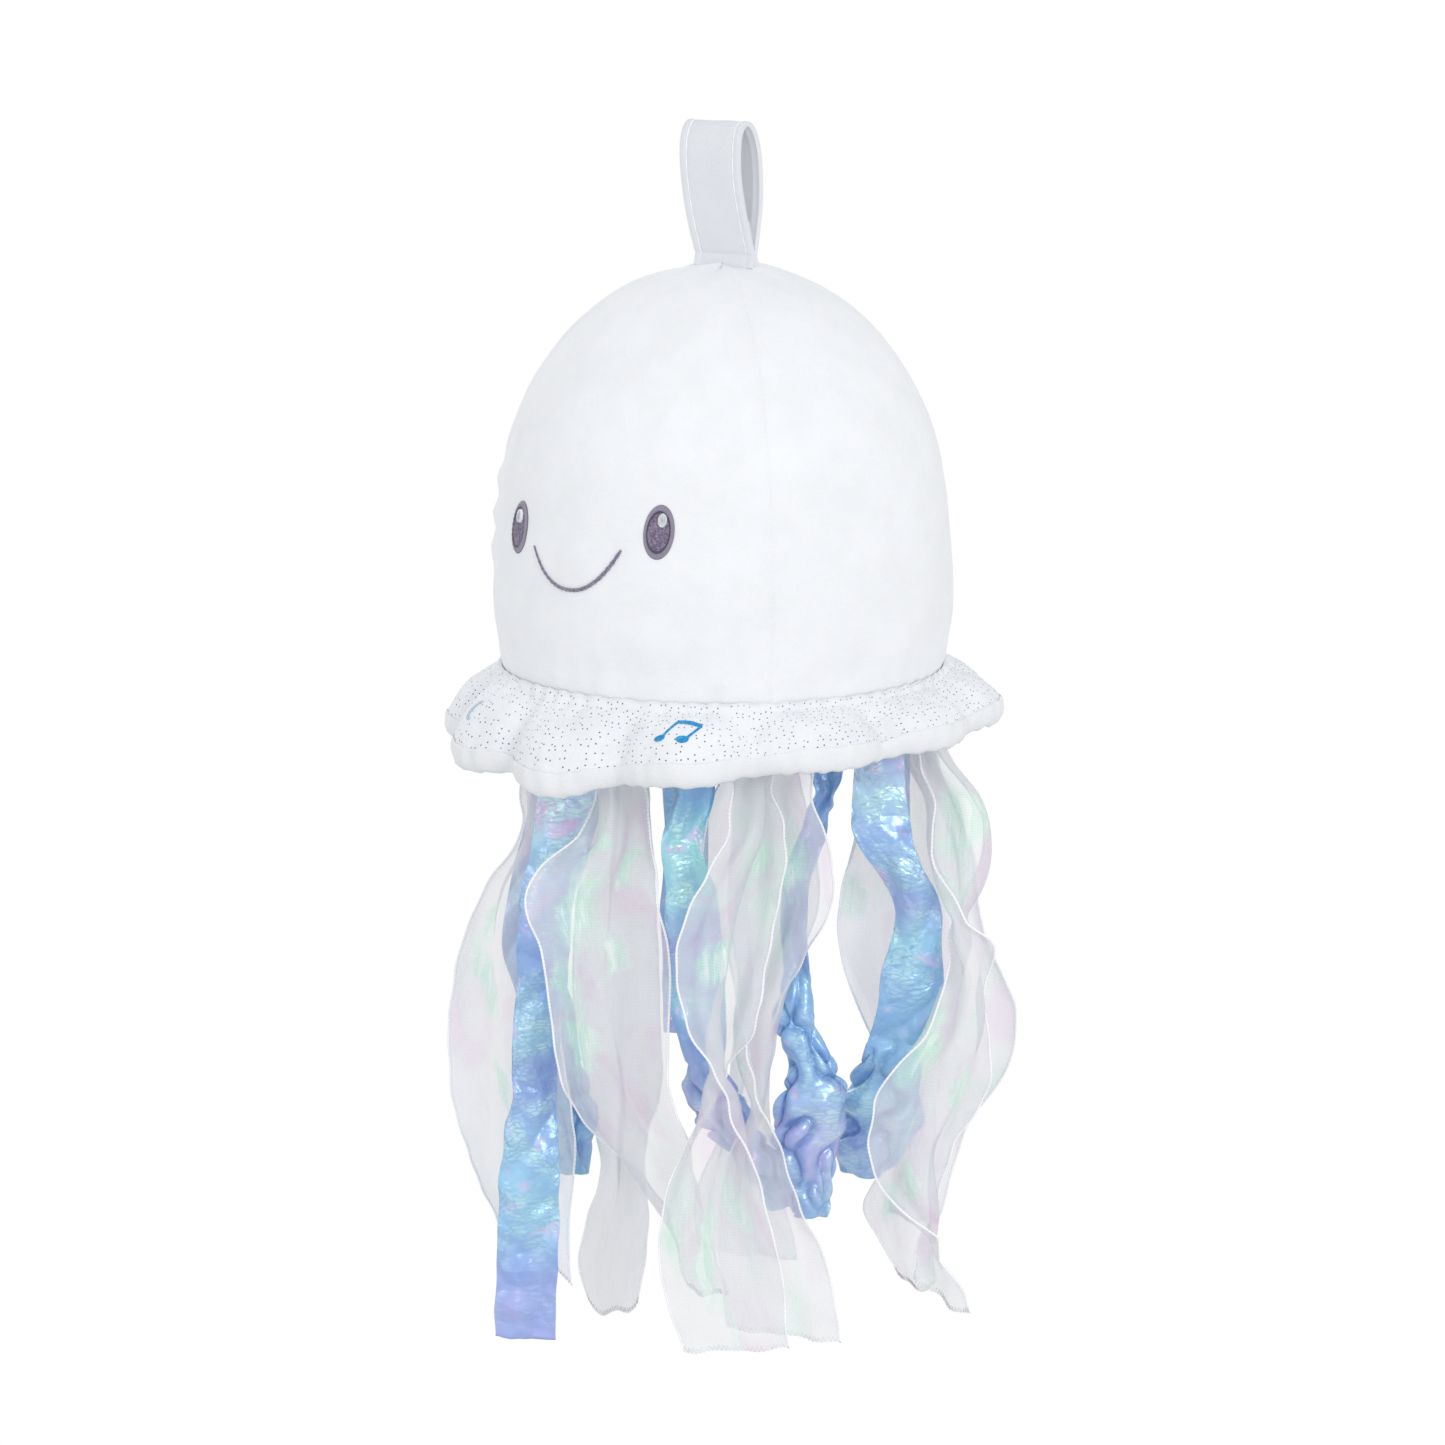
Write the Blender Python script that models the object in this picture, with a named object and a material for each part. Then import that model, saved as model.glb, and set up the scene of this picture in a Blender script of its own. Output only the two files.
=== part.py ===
"""Plush jellyfish that hangs by a loop: a stuffed head sewn from four panels, an embroidered face,
a scalloped collar in two layers, and streamers of organza and of gathered foil cloth.

Metres, +Z up. The face looks along -Y. The origin is the point where the loop hangs: the top of its
hole. Heights in the code are counted from the seam round the bottom of the head, and one empty
carries every piece down to its place under the origin."""

import bmesh
import bpy
from math import atan2, ceil, cos, exp, hypot, pi, radians, sin, sqrt
from mathutils import Vector

MM = 0.001

# Clearance between pieces that touch
GAP = 0.3 * MM

# Head
HEAD_RADIUS = 81 * MM
SEAM_RADIUS = 75.5 * MM
HEAD_HEIGHT = 140 * MM
WIDEST_HEIGHT = 25 * MM
SHOULDER = 2.65
PLUSH = 2 * MM
SEAM_TUCK = 1.2 * MM
SEAM_TUCK_ANGLE = radians(6)
CROWN_HOLE = 2 * MM
FACE_PANEL_ANGLE = radians(100)
PANEL_STEPS = 8
PANEL_ROWS = 11

# Base, stuffing and sound unit
BASE_THICKNESS = 2 * MM
STUFFING_SLACK = 0.6 * MM
STUFFING_ROWS = 7
FILLING_STEPS = 20
STUFFING_TOP = 0.96
UNIT_RADIUS = 29 * MM
UNIT_HEIGHT = 28 * MM
UNIT_EDGE = 3 * MM

# Face, by angle from the middle of the front and height over the seam
EYE_ANGLE = radians(22)
EYE_HEIGHT = 57 * MM
EYE_WIDTH = 11 * MM
EYE_TALL = 18.7 * MM
GLINT_WIDTH = 3 * MM
GLINT_TALL = 4.6 * MM
GLINT_UP = 4.3 * MM
GLINT_SIDE = 1.2 * MM
SMILE_ANGLE = radians(14)
SMILE_LOW = 36.5 * MM
SMILE_RISE = 14.5 * MM
SMILE_BEND = 2.2
SMILE_WIDTH = 1.4 * MM
SMILE_STEPS = 16
THREAD = 0.8 * MM

# Hanging loop, a band folded over and sewn in at the crown
LOOP_HEIGHT = 48 * MM
LOOP_WIDTH = 25 * MM
LOOP_DEPTH = 14 * MM
BAND = 2.4 * MM
LOOP_LEAN = 4 * MM
LOOP_ROOT = 4 * MM
LOOP_TAPER = 0.6
LOOP_STEPS = 24
LOOP_COLUMNS = 3

# Collar. Scallops are counted from the middle of the front towards +X, and each has its own droop.
SCALLOPS = 12
SCALLOP_SOFTNESS = 0.02
COLLAR_REACH = 21 * MM
COLLAR_CREASE = 5 * MM
COLLAR_BEND = 1.15
SCALLOP_DROOPS = tuple(droop * MM for droop in (27, 19, 15, 13, 14, 16, 18, 18, 19, 21, 24, 26))
COLLAR_PUFF = 5 * MM
CREASE_PUFF = 0.35
CREASE_DROOP = 0.8
COLLAR_TOP = 1.6 * MM
COLLAR_THICK = 7 * MM
COLLAR_HEM = 3 * MM
GLITTER_END = 0.86
HEM_START = 0.9
HEM_END = 1.04
COLLAR_STEPS = 72
COLLAR_ROWS = 4

# Print on the collar
PRINT = 0.6 * MM
PRINT_LIFT = 0.7 * MM
NOTE_SCALLOP = 1
MARK_SCALLOP = 11
MARK_RADIUS = 4.5 * MM
MARK_BITE = 3.4 * MM
MARK_TIP_ANGLE = radians(60)
NOTE_HEAD = (2.3 * MM, 1.3 * MM)
NOTE_STEM = 0.9 * MM
NOTE_BEAM = 1.4 * MM

# Streamers
ORGANZA_WIDTH = 45 * MM
FOIL_WIDTH = 22 * MM
CLOTH = 1 * MM
ORGANZA_TOP_SHARE = 0.42
FOIL_TOP_SHARE = 0.8
ORGANZA_COLUMNS = 4
FOIL_COLUMNS = 3
ROW_STEP = 14 * MM
GATHER_ROW = 5 * MM
GATHER_PITCH = 13 * MM
GATHER_DEPTH = 14 * MM
GATHER_RIPPLE = 0.18
GATHER_SPREAD = 0.1
GATHER_END = 0.96

# The streamers were laid out from the side that the photograph shows, so many degrees from the front
VIEW_TURN = radians(38)

# Routes of the streamers. A route has the angle of its root round the base, seen from that side, how far
# the root lies inside the seam, and stations: drop under the seam, sideways and nearer from the root in
# millimetres, turn about the vertical in degrees, and the share of the width that lies open.
ORGANZA_ROUTES = {
    "organza_streamer_1": (-92, 8, [
        (44, 4, 3, 32, 0.45), (62, 4, 3, 34, 0.55), (80, -3, 3, 26, 0.72), (102, -8, 4, 19, 0.84),
        (135, -10, 5, 14, 0.92), (156, -8, 6, 11, 0.96), (175, -5, 7, 9, 0.9), (197, -3, 8, 8, 0.7),
        (215, 1, 8, 9, 0.55)]),
    "organza_streamer_2": (-38, 9, [
        (32, 5, 1, 24, 0.43), (48, 4, 5, 15, 0.55), (58, -1, 9, 2, 0.88), (69, -3, 10, 0, 1.0),
        (86, 1, 10, 0, 0.97), (114, 3, 9, 3, 0.9), (136, 5, 6, 9, 0.86), (155, 13, 0, 16, 0.82),
        (175, 22, -8, 33, 0.62), (194, 29, -14, 48, 0.55), (217, 36, -16, 45, 0.5)]),
    "organza_streamer_3": (10, 8, [
        (29, -1, -1, -60, 0.32), (43, -1, 2, -46, 0.43), (55, -4, 4, -33, 0.57), (73, -9, 6, -26, 0.71),
        (92, -12, 7, -25, 0.65), (108, -13, 7, -36, 0.5), (124, -13, 6, -88, 0.32), (135, -13, 6, -130, 0.3),
        (153, -13, 6, -165, 0.58), (172, -14, 5, -174, 0.81), (198, -12, 6, -177, 0.93),
        (224, -7, 6, -177, 0.8)]),
    "organza_streamer_4": (26, 16, [
        (32, -13, -1, -11, 0.73), (47, -12, -1, -8, 0.92), (63, -11, -2, -7, 1.0),
        (77, -10, -3, -10, 0.88), (91, -12, -3, -20, 0.6), (109, -16, -2, -43, 0.46),
        (127, -16, -2, -64, 0.4), (145, -14, -2, -96, 0.36), (159, -16, -1, -147, 0.43),
        (179, -14, 0, -164, 0.65), (198, -9, 1, -171, 0.85), (225, -5, 2, -174, 0.88)]),
    "organza_streamer_5": (76, 8, [
        (30, 6, 5, -50, 0.47), (41, 13, 13, -42, 0.58), (56, 15, 20, -38, 0.7), (69, 15, 29, -58, 0.5),
        (79, 15, 35, -98, 0.34), (91, 18, 38, -161, 0.3), (105, 17, 39, -196, 0.42),
        (115, 15, 39, -201, 0.6), (131, 8, 39, -199, 0.92), (144, 5, 38, -202, 0.93),
        (158, 1, 38, -207, 0.78), (173, 2, 37, -213, 0.58), (188, 6, 36, -237, 0.36),
        (213, 14, 38, -292, 0.26)]),
    "organza_streamer_6": (60, 12, [
        (32, 1, -10, -16, 0.35), (55, 1, -10, -11, 0.47), (68, 1, -10, -8, 0.64), (85, 1, -12, -7, 0.73),
        (102, 2, -16, -7, 0.69), (117, 5, -19, -4, 0.58), (132, 8, -22, 0, 0.44), (155, 12, -23, 8, 0.36),
        (172, 12, -19, 7, 0.37), (185, 8, -13, 5, 0.47), (197, 7, -7, 5, 0.54), (217, 13, -2, 3, 0.3)]),
    "organza_streamer_7": (102, 8, [
        (39, 6, 4, -34, 0.35), (68, 12, 6, -10, 0.5), (98, 14, 7, 4, 0.56), (117, 18, 6, 7, 0.77),
        (127, 20, 6, 6, 0.83), (141, 19, 5, 9, 0.84), (155, 16, 4, 7, 0.75), (172, 10, 3, 5, 0.53),
        (207, 3, 2, 0, 0.4)]),
    "organza_streamer_8": (176, 8, [
        (59, 12, 5, 4, 0.57), (100, 14, 7, 3, 0.76), (122, 11, 9, 5, 0.53), (145, 7, 11, 24, 0.34),
        (160, 5, 13, 45, 0.32), (179, 4, 12, 32, 0.36), (215, 2, 11, 3, 0.75), (236, 5, 11, 3, 0.84)]),
    "organza_streamer_9": (-138, 8, [
        (55, 8, 3, -14, 0.4), (94, 6, 7, -13, 0.62), (130, 6, 11, -11, 0.69), (165, 9, 15, -18, 0.56),
        (187, 8, 17, -29, 0.38), (199, 8, 20, -30, 0.36), (212, 7, 24, -16, 0.48), (229, 5, 28, -9, 0.55),
        (245, 5, 31, -6, 0.42)]),
}

# A foil route also has the drop at which its gathered end begins, or None
FOIL_ROUTES = {
    "foil_streamer_1": (-62, 8, None, [
        (37, 7, 0, 10, 1.0), (58, 4, 0, 11, 0.97), (76, -1, 1, 6, 0.85), (93, -2, 1, 6, 0.82),
        (129, -5, 1, -7, 0.76), (145, -5, 1, -20, 0.74), (158, -7, 1, -6, 0.85), (194, -8, 2, 0, 0.98),
        (234, -10, 2, 0, 0.98)]),
    "foil_streamer_2": (-9, 8, 126, [
        (30, 1, -4, 26, 0.61), (45, -2, -4, 26, 0.61), (56, -2, -4, 8, 0.66), (65, 0, -5, 0, 0.8),
        (82, 1, -8, 0, 0.87), (104, 2, -10, -6, 0.9), (120, 4, -12, -7, 0.74), (129, 5, -14, -9, 0.62),
        (140, 6, -23, -12, 0.84), (151, 10, -31, -12, 0.86), (164, 18, -40, -6, 0.83),
        (175, 25, -42, -8, 0.7), (189, 32, -42, -10, 0.5)]),
    "foil_streamer_3": (38, 20, 98, [
        (30, 1, -4, 10, 0.5), (36, 1, -2, 35, 0.36), (44, -3, -4, -26, 0.4), (67, -9, -4, 0, 0.42),
        (98, -9, -2, 0, 0.42), (109, -9, -2, 0, 0.62), (120, -8, -2, 0, 0.62), (130, -4, -2, 0, 0.75),
        (140, -3, -1, -4, 1.1), (150, -4, -1, -4, 1.15), (159, -6, -1, -5, 1.08), (169, -5, -1, -5, 0.92),
        (186, -4, -1, -10, 0.55)]),
    "foil_streamer_4": (50, 9, 124, [
        (28, 2, -2, -7, 0.8), (46, 3, -1, 0, 0.88), (53, 5, 0, 6, 0.84), (66, 12, 0, 7, 0.82),
        (77, 16, 0, 8, 0.76), (85, 16, 0, 7, 0.8), (99, 14, 0, 5, 0.95), (109, 13, 0, 5, 0.98),
        (119, 10, 0, 6, 0.86), (131, 7, -3, 18, 0.98), (140, 5, -6, 26, 1.2), (152, 4, -9, 28, 1.35),
        (164, 0, -12, 28, 1.15), (176, -3, -15, 28, 0.7)]),
    "foil_streamer_5": (-116, 8, 150, [
        (51, 3, 1, 5, 0.95), (91, -7, 4, 0, 0.9), (107, -9, 5, -6, 0.9), (128, -4, 6, 0, 0.87),
        (158, 3, 6, 0, 0.76), (170, 6, 6, 0, 0.66), (193, 6, 6, 0, 0.52)]),
    "foil_streamer_6": (118, 8, None, [
        (44, -1, 1, 0, 0.8), (76, 2, 1, -8, 0.72), (97, 11, -1, -8, 0.74), (130, 8, -2, 0, 0.83),
        (149, 6, -2, 0, 0.8)]),
    "foil_streamer_7": (-165, 8, None, [
        (59, 4, 5, 0, 0.75), (100, 3, 6, 8, 0.72), (123, 3, 7, 0, 0.72), (150, 4, 7, 0, 0.72)]),
}

# Values that follow from the sizes above
FULL_TURN = 2 * pi
HANG_HEIGHT = HEAD_HEIGHT + GAP + LOOP_HEIGHT - BAND
LOWER_SHARE = 0.18
LINING_DEPTH = COLLAR_TOP + 2 * GAP


def clear_scene():
    for old in list(bpy.data.objects):
        bpy.data.objects.remove(old, do_unlink=True)


def make_material(name, colour, roughness, metallic=0.0):
    material = bpy.data.materials.new(name)
    material.use_nodes = True
    shader = material.node_tree.nodes["Principled BSDF"]
    shader.inputs["Base Color"].default_value = (*colour, 1.0)
    shader.inputs["Roughness"].default_value = roughness
    shader.inputs["Metallic"].default_value = metallic
    return material


def add_piece(name, bm, material, carrier, edge_angle=35):
    """Put a finished mesh under the carrier, with its faces out and its round parts smooth."""
    bmesh.ops.recalc_face_normals(bm, faces=bm.faces)
    mesh = bpy.data.meshes.new(name)
    bm.to_mesh(mesh)
    bm.free()
    mesh.materials.append(material)
    mesh.shade_smooth()
    mesh.set_sharp_from_angle(angle=radians(edge_angle))
    piece = bpy.data.objects.new(name, mesh)
    bpy.context.collection.objects.link(piece)
    piece.parent = carrier
    return piece


def round_point(radius, azimuth, height):
    """A point by its azimuth from the front, positive towards +X."""
    return Vector((radius * sin(azimuth), -radius * cos(azimuth), height))


def grid_faces(bm, rows, closed):
    """Join rows of vertices with quads. A closed row joins its last vertex to its first."""
    for lower, upper in zip(rows, rows[1:]):
        count = len(lower)
        for i in range(count if closed else count - 1):
            j = (i + 1) % count
            bm.faces.new((lower[i], lower[j], upper[j], upper[i]))


# Head

def head_profile(share):
    """Radius and height of the head, from the seam at 0 to the crown at 1."""
    if share < LOWER_SHARE:
        rest = 1 - share / LOWER_SHARE
        return HEAD_RADIUS - (HEAD_RADIUS - SEAM_RADIUS) * rest**2, WIDEST_HEIGHT * (1 - rest)
    angle = (share - LOWER_SHARE) / (1 - LOWER_SHARE) * pi / 2
    rise = sin(angle) ** (2 / SHOULDER)
    return HEAD_RADIUS * cos(angle), WIDEST_HEIGHT + (HEAD_HEIGHT - WIDEST_HEIGHT) * rise


def head_radius(height):
    if height < WIDEST_HEIGHT:
        rest = 1 - height / WIDEST_HEIGHT
        return HEAD_RADIUS - (HEAD_RADIUS - SEAM_RADIUS) * rest**2
    rise = min(1.0, (height - WIDEST_HEIGHT) / (HEAD_HEIGHT - WIDEST_HEIGHT))
    return HEAD_RADIUS * sqrt(1 - rise**SHOULDER)


def panel_seams():
    half = FACE_PANEL_ANGLE / 2
    return [-half, half, pi - half, pi + half]


def seam_tuck(azimuth):
    """How far the cloth is pulled in near a seam between two panels."""
    tuck = 0.0
    for seam in panel_seams():
        away = (azimuth - seam + pi) % FULL_TURN - pi
        tuck += SEAM_TUCK * exp(-((away / SEAM_TUCK_ANGLE) ** 2))
    return tuck


def head_point(azimuth, share, inset=0.0):
    """A point of the head's outer side, or of a layer that lies inset under it."""
    radius, height = head_profile(share)
    step = 0.01
    r0, z0 = head_profile(max(0.0, share - step))
    r1, z1 = head_profile(min(1.0, share + step))
    length = hypot(r1 - r0, z1 - z0)
    out, up = (z1 - z0) / length, (r0 - r1) / length
    radius -= seam_tuck(azimuth) * radius / HEAD_RADIUS
    return round_point(radius - inset * out, azimuth, height - inset * up)


def crown_share():
    """The share at which the panels stop, just short of the crown."""
    return LOWER_SHARE + (1 - LOWER_SHARE) * (1 - CROWN_HOLE / HEAD_RADIUS * 2 / pi)


def head_panel(name, start, end, material, carrier):
    """One gore as a curved sheet, given its thickness by a Solidify modifier."""
    bm = bmesh.new()
    rows = []
    for k in range(PANEL_ROWS + 1):
        share = crown_share() * k / PANEL_ROWS
        edge = GAP / 2 / head_profile(share)[0]
        span = end - start - 2 * edge
        angles = [start + edge + span * i / PANEL_STEPS for i in range(PANEL_STEPS + 1)]
        rows.append([bm.verts.new(head_point(angle, share)) for angle in angles])
    grid_faces(bm, rows, closed=False)
    piece = add_piece(name, bm, material, carrier)
    shell = piece.modifiers.new("plush", "SOLIDIFY")
    shell.thickness = PLUSH
    shell.offset = -1
    if piece.data.polygons[0].normal.dot(piece.data.polygons[0].center) < 0:
        piece.data.flip_normals()
    return piece


def turned_solid(name, profile, steps, material, carrier):
    """Turn a profile of (radius, height), both ends on the axis, into one closed solid."""
    bm = bmesh.new()
    first = bm.verts.new((0, 0, profile[0][1]))
    last = bm.verts.new((0, 0, profile[-1][1]))
    rings = []
    for radius, height in profile[1:-1]:
        rings.append([bm.verts.new(round_point(radius, FULL_TURN * i / steps, height)) for i in range(steps)])
    grid_faces(bm, rings, closed=True)
    for i in range(steps):
        j = (i + 1) % steps
        bm.faces.new((first, rings[0][i], rings[0][j]))
        bm.faces.new((last, rings[-1][j], rings[-1][i]))
    return add_piece(name, bm, material, carrier)


def base_radius():
    return SEAM_RADIUS - SEAM_TUCK - PLUSH - 3 * GAP


def make_base(material, carrier):
    radius = base_radius()
    profile = [(0, 0), (radius, 0), (radius, BASE_THICKNESS), (0, BASE_THICKNESS)]
    return turned_solid("base_panel", profile, 36, material, carrier)


def make_sound_unit(material, carrier):
    low = BASE_THICKNESS + GAP
    high = low + UNIT_HEIGHT
    profile = [
        (0, low),
        (UNIT_RADIUS - UNIT_EDGE, low),
        (UNIT_RADIUS, low + UNIT_EDGE),
        (UNIT_RADIUS, high - UNIT_EDGE),
        (UNIT_RADIUS - UNIT_EDGE, high),
        (0, high),
    ]
    return turned_solid("sound_unit", profile, FILLING_STEPS, material, carrier)


def make_stuffing(material, carrier):
    """The stuffing fills the head inside the panels, over the base and round the sound unit."""
    inset = PLUSH + SEAM_TUCK + STUFFING_SLACK
    low = BASE_THICKNESS + GAP
    pocket = UNIT_RADIUS + GAP
    roof = low + UNIT_HEIGHT + GAP
    profile = [(0, HEAD_HEIGHT - inset)]
    for k in range(STUFFING_ROWS, 0, -1):
        point = head_point(pi / 2, STUFFING_TOP * k / STUFFING_ROWS, inset)
        profile.append((point.x, max(low, point.z)))
    profile += [(base_radius() - GAP, low), (pocket, low), (pocket, roof), (0, roof)]
    return turned_solid("stuffing", profile, FILLING_STEPS, material, carrier)


# Face

def on_head(side, height, lift, middle):
    """A point over the head's side: along the cloth from the middle angle, and up from the seam."""
    radius = head_radius(height)
    azimuth = middle + side / radius
    return round_point(radius - seam_tuck(azimuth) + lift, azimuth, height)


def oval_patch(name, middle, side, height, width, tall, lift, steps, material, carrier):
    """An embroidered oval that follows the head, with a soft edge."""
    inner, shoulder = 0.55, 0.9
    bm = bmesh.new()

    def ring_at(share, out):
        ring = []
        for i in range(steps):
            angle = FULL_TURN * i / steps
            x = side + width / 2 * share * cos(angle)
            z = height + tall / 2 * share * sin(angle)
            ring.append(bm.verts.new(on_head(x, z, out, middle)))
        return ring

    top = lift + THREAD
    low = [ring_at(inner, lift), ring_at(1.0, lift)]
    high = [ring_at(1.0, lift + THREAD / 2), ring_at(shoulder, top), ring_at(inner, top)]
    grid_faces(bm, low + high, closed=True)
    for ring, out in ((low[0], lift), (high[-1], top)):
        centre = bm.verts.new(on_head(side, height, out, middle))
        for i in range(steps):
            bm.faces.new((centre, ring[i], ring[(i + 1) % steps]))
    return add_piece(name, bm, material, carrier)


def make_face(dark, white, carrier):
    for word, sign in (("left", -1), ("right", 1)):
        middle = sign * EYE_ANGLE
        oval_patch(f"eye_{word}", middle, 0, EYE_HEIGHT, EYE_WIDTH, EYE_TALL, GAP, 16, dark, carrier)
        up = EYE_HEIGHT + GLINT_UP
        lift = 2 * GAP + THREAD
        oval_patch(f"glint_{word}", middle, GLINT_SIDE, up, GLINT_WIDTH, GLINT_TALL, lift, 8, white, carrier)


def make_smile(material, carrier):
    """The smile is one line of stitches: a flat cord of square section along a curve on the head."""
    bm = bmesh.new()
    rows = []
    for i in range(SMILE_STEPS + 1):
        share = 2 * i / SMILE_STEPS - 1
        azimuth = share * SMILE_ANGLE
        height = SMILE_LOW + SMILE_RISE * abs(share) ** SMILE_BEND
        half = SMILE_WIDTH / 2 * (1 - share**4 / 2)
        climb = SMILE_RISE * SMILE_BEND * abs(share) ** (SMILE_BEND - 1)
        slope = atan2(climb if share > 0 else -climb, SMILE_ANGLE * HEAD_RADIUS)
        row = []
        for across, out in ((-half, GAP), (half, GAP), (half, GAP + THREAD), (-half, GAP + THREAD)):
            side = -across * sin(slope)
            row.append(bm.verts.new(on_head(side, height + across * cos(slope), out, azimuth)))
        rows.append(row)
    grid_faces(bm, rows, closed=True)
    bm.faces.new(rows[0])
    bm.faces.new(rows[-1])
    return add_piece("smile", bm, material, carrier)


# Hanging loop

def loop_outline(grow):
    """The loop's outline across Y and Z over the crown, grown out from its hole by a width."""
    inner_height = LOOP_HEIGHT - BAND - LOOP_ROOT
    widest = LOOP_TAPER / (1 + LOOP_TAPER)
    fullness = sqrt(1 - widest**2) * ((1 + widest) / 2) ** LOOP_TAPER
    half = (LOOP_DEPTH / 2 - BAND) / fullness
    points = []
    for i in range(LOOP_STEPS):
        angle = FULL_TURN * i / LOOP_STEPS - pi / 2
        rise = (sin(angle) + 1) / 2
        middle = LOOP_LEAN * (0.5 - rise)
        y = middle + cos(angle) * (half * rise**LOOP_TAPER + grow)
        z = LOOP_ROOT + inner_height * rise + grow * sin(angle)
        if grow and sin(angle) < -0.9:
            z = 0.0
        points.append((y, z))
    return points


def crown_fall(x, y):
    """How far the head has fallen from its crown at a place over it."""
    radius = hypot(x, y) / HEAD_RADIUS
    return (HEAD_HEIGHT - WIDEST_HEIGHT) * (1 - (1 - radius**2) ** (1 / SHOULDER))


def make_loop(material, carrier):
    """A closed band, whose lowest edge follows the crown that it is sewn to."""
    bm = bmesh.new()
    columns = [LOOP_WIDTH * (i / LOOP_COLUMNS - 0.5) for i in range(LOOP_COLUMNS + 1)]

    def band_row(outline, x):
        row = []
        for y, z in outline:
            fall = crown_fall(x, y) if z == 0.0 else 0.0
            row.append(bm.verts.new((x, y, HEAD_HEIGHT + GAP + z - fall)))
        return row

    outer = [band_row(loop_outline(BAND), x) for x in columns]
    inner = [band_row(loop_outline(0.0), x) for x in reversed(columns)]
    grid_faces(bm, outer + inner + outer[:1], closed=True)
    return add_piece("hanging_loop", bm, material, carrier)


# Collar

def scallop_share(azimuth):
    """1 in the middle of a scallop and 0 in the crease between two."""
    wave = abs(cos(SCALLOPS * azimuth / 2))
    return sqrt((wave * wave + SCALLOP_SOFTNESS) / (1 + SCALLOP_SOFTNESS))


def scallop_droop(azimuth):
    """How far the hem hangs under the seam, blended from one scallop to the next."""
    place = (azimuth / FULL_TURN * SCALLOPS) % SCALLOPS
    index = int(place)
    share = place - index
    blend = share * share * (3 - 2 * share)
    return SCALLOP_DROOPS[index] * (1 - blend) + SCALLOP_DROOPS[(index + 1) % SCALLOPS] * blend


def collar_point(azimuth, share, depth=0.0):
    """A point of the collar's top side, from the seam at 0 to the hem at 1, or depth under it."""
    scallop = scallop_share(azimuth)
    droop = scallop_droop(azimuth)
    reach = COLLAR_REACH - COLLAR_CREASE * (1 - scallop) * share
    start = SEAM_RADIUS + 2 * GAP
    slope = atan2(droop, COLLAR_REACH)
    puff = COLLAR_PUFF * sin(pi * min(1.0, share * GLITTER_END)) * (CREASE_PUFF + (1 - CREASE_PUFF) * scallop)
    lift = puff - depth
    radius = start + reach * share + lift * sin(slope)
    fall = droop * share**COLLAR_BEND * (CREASE_DROOP + (1 - CREASE_DROOP) * scallop)
    height = lift * cos(slope) - fall
    return round_point(radius, azimuth, height)


def collar_angles():
    return [FULL_TURN * i / COLLAR_STEPS for i in range(COLLAR_STEPS)]


def collar_ring(name, tops, bottoms, material, carrier):
    """A ring from lines of (share, depth): the top side going out, then the underside coming back."""
    bm = bmesh.new()
    rows = []
    for share, depth in tops + bottoms:
        rows.append([bm.verts.new(collar_point(angle, share, depth)) for angle in collar_angles()])
    rows.append(rows[0])
    grid_faces(bm, rows, closed=True)
    return add_piece(name, bm, material, carrier)


def make_collar(glitter, plain, carrier):
    """A glitter layer on top, and a plain lining under it that rolls up round the hem."""
    shares = [i / COLLAR_ROWS for i in range(COLLAR_ROWS + 1)]
    top = [(share * GLITTER_END, 0.0) for share in shares]
    under = [(share * GLITTER_END, COLLAR_TOP) for share in reversed(shares)]
    collar_ring("collar_top", top, under, glitter, carrier)

    lining_top = [(share * HEM_START, LINING_DEPTH) for share in shares[1:]]
    hem = [(HEM_START, 0.0), (1.0, COLLAR_HEM / 2), (HEM_END, COLLAR_HEM), (1.0, COLLAR_THICK)]
    full, inner = shares[-2] * HEM_START, shares[1] * HEM_START
    lining_low = [(full, COLLAR_THICK), (inner, LINING_DEPTH + PLUSH)]
    collar_ring("collar_lining", lining_top + hem, lining_low, plain, carrier)


# Print on the collar

def on_collar(side, up, lift, middle):
    """A point over the collar: along it from the middle angle, and up its slope from mid height."""
    mid_share = 0.5
    radius = SEAM_RADIUS + COLLAR_REACH * mid_share
    azimuth = middle + side / radius
    slant = hypot(COLLAR_REACH, scallop_droop(middle))
    return collar_point(azimuth, mid_share - up / slant, -lift)


def arc_points(centre, radii, start, end, steps):
    points = []
    for i in range(steps + 1):
        angle = start + (end - start) * i / steps
        points.append((centre[0] + radii[0] * cos(angle), centre[1] + radii[1] * sin(angle)))
    return points


def printed_shape(name, outline, middle, material, carrier):
    """A flat outline, given a little thickness and laid on the collar."""
    bm = bmesh.new()
    face = bm.faces.new([bm.verts.new((x, y, 0)) for x, y in outline])
    bmesh.ops.triangulate(bm, faces=[face])
    grown = bmesh.ops.extrude_face_region(bm, geom=list(bm.faces))
    for item in grown["geom"]:
        if isinstance(item, bmesh.types.BMVert):
            item.co.z = PRINT
    for vert in bm.verts:
        vert.co = on_collar(vert.co.x, vert.co.y, PRINT_LIFT + vert.co.z, middle)
    return add_piece(name, bm, material, carrier)


def note_outline():
    """Two leaning stems under one beam, each with an oval head, as one closed outline."""
    left_head, right_head = (-7.6 * MM, -3.2 * MM), (0.4 * MM, -3.6 * MM)
    left_top, right_top = (-1.0 * MM, 5.0 * MM), (8.6 * MM, 2.0 * MM)

    def head_arc(centre):
        return arc_points(centre, NOTE_HEAD, radians(-10), radians(-325), 7)

    points = [left_top, right_top]
    points += head_arc(right_head)
    points.append((right_top[0] - 2 * NOTE_STEM, right_top[1] - NOTE_BEAM))
    points.append((left_top[0] + NOTE_STEM, left_top[1] - NOTE_BEAM))
    points += head_arc(left_head)
    return points


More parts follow.
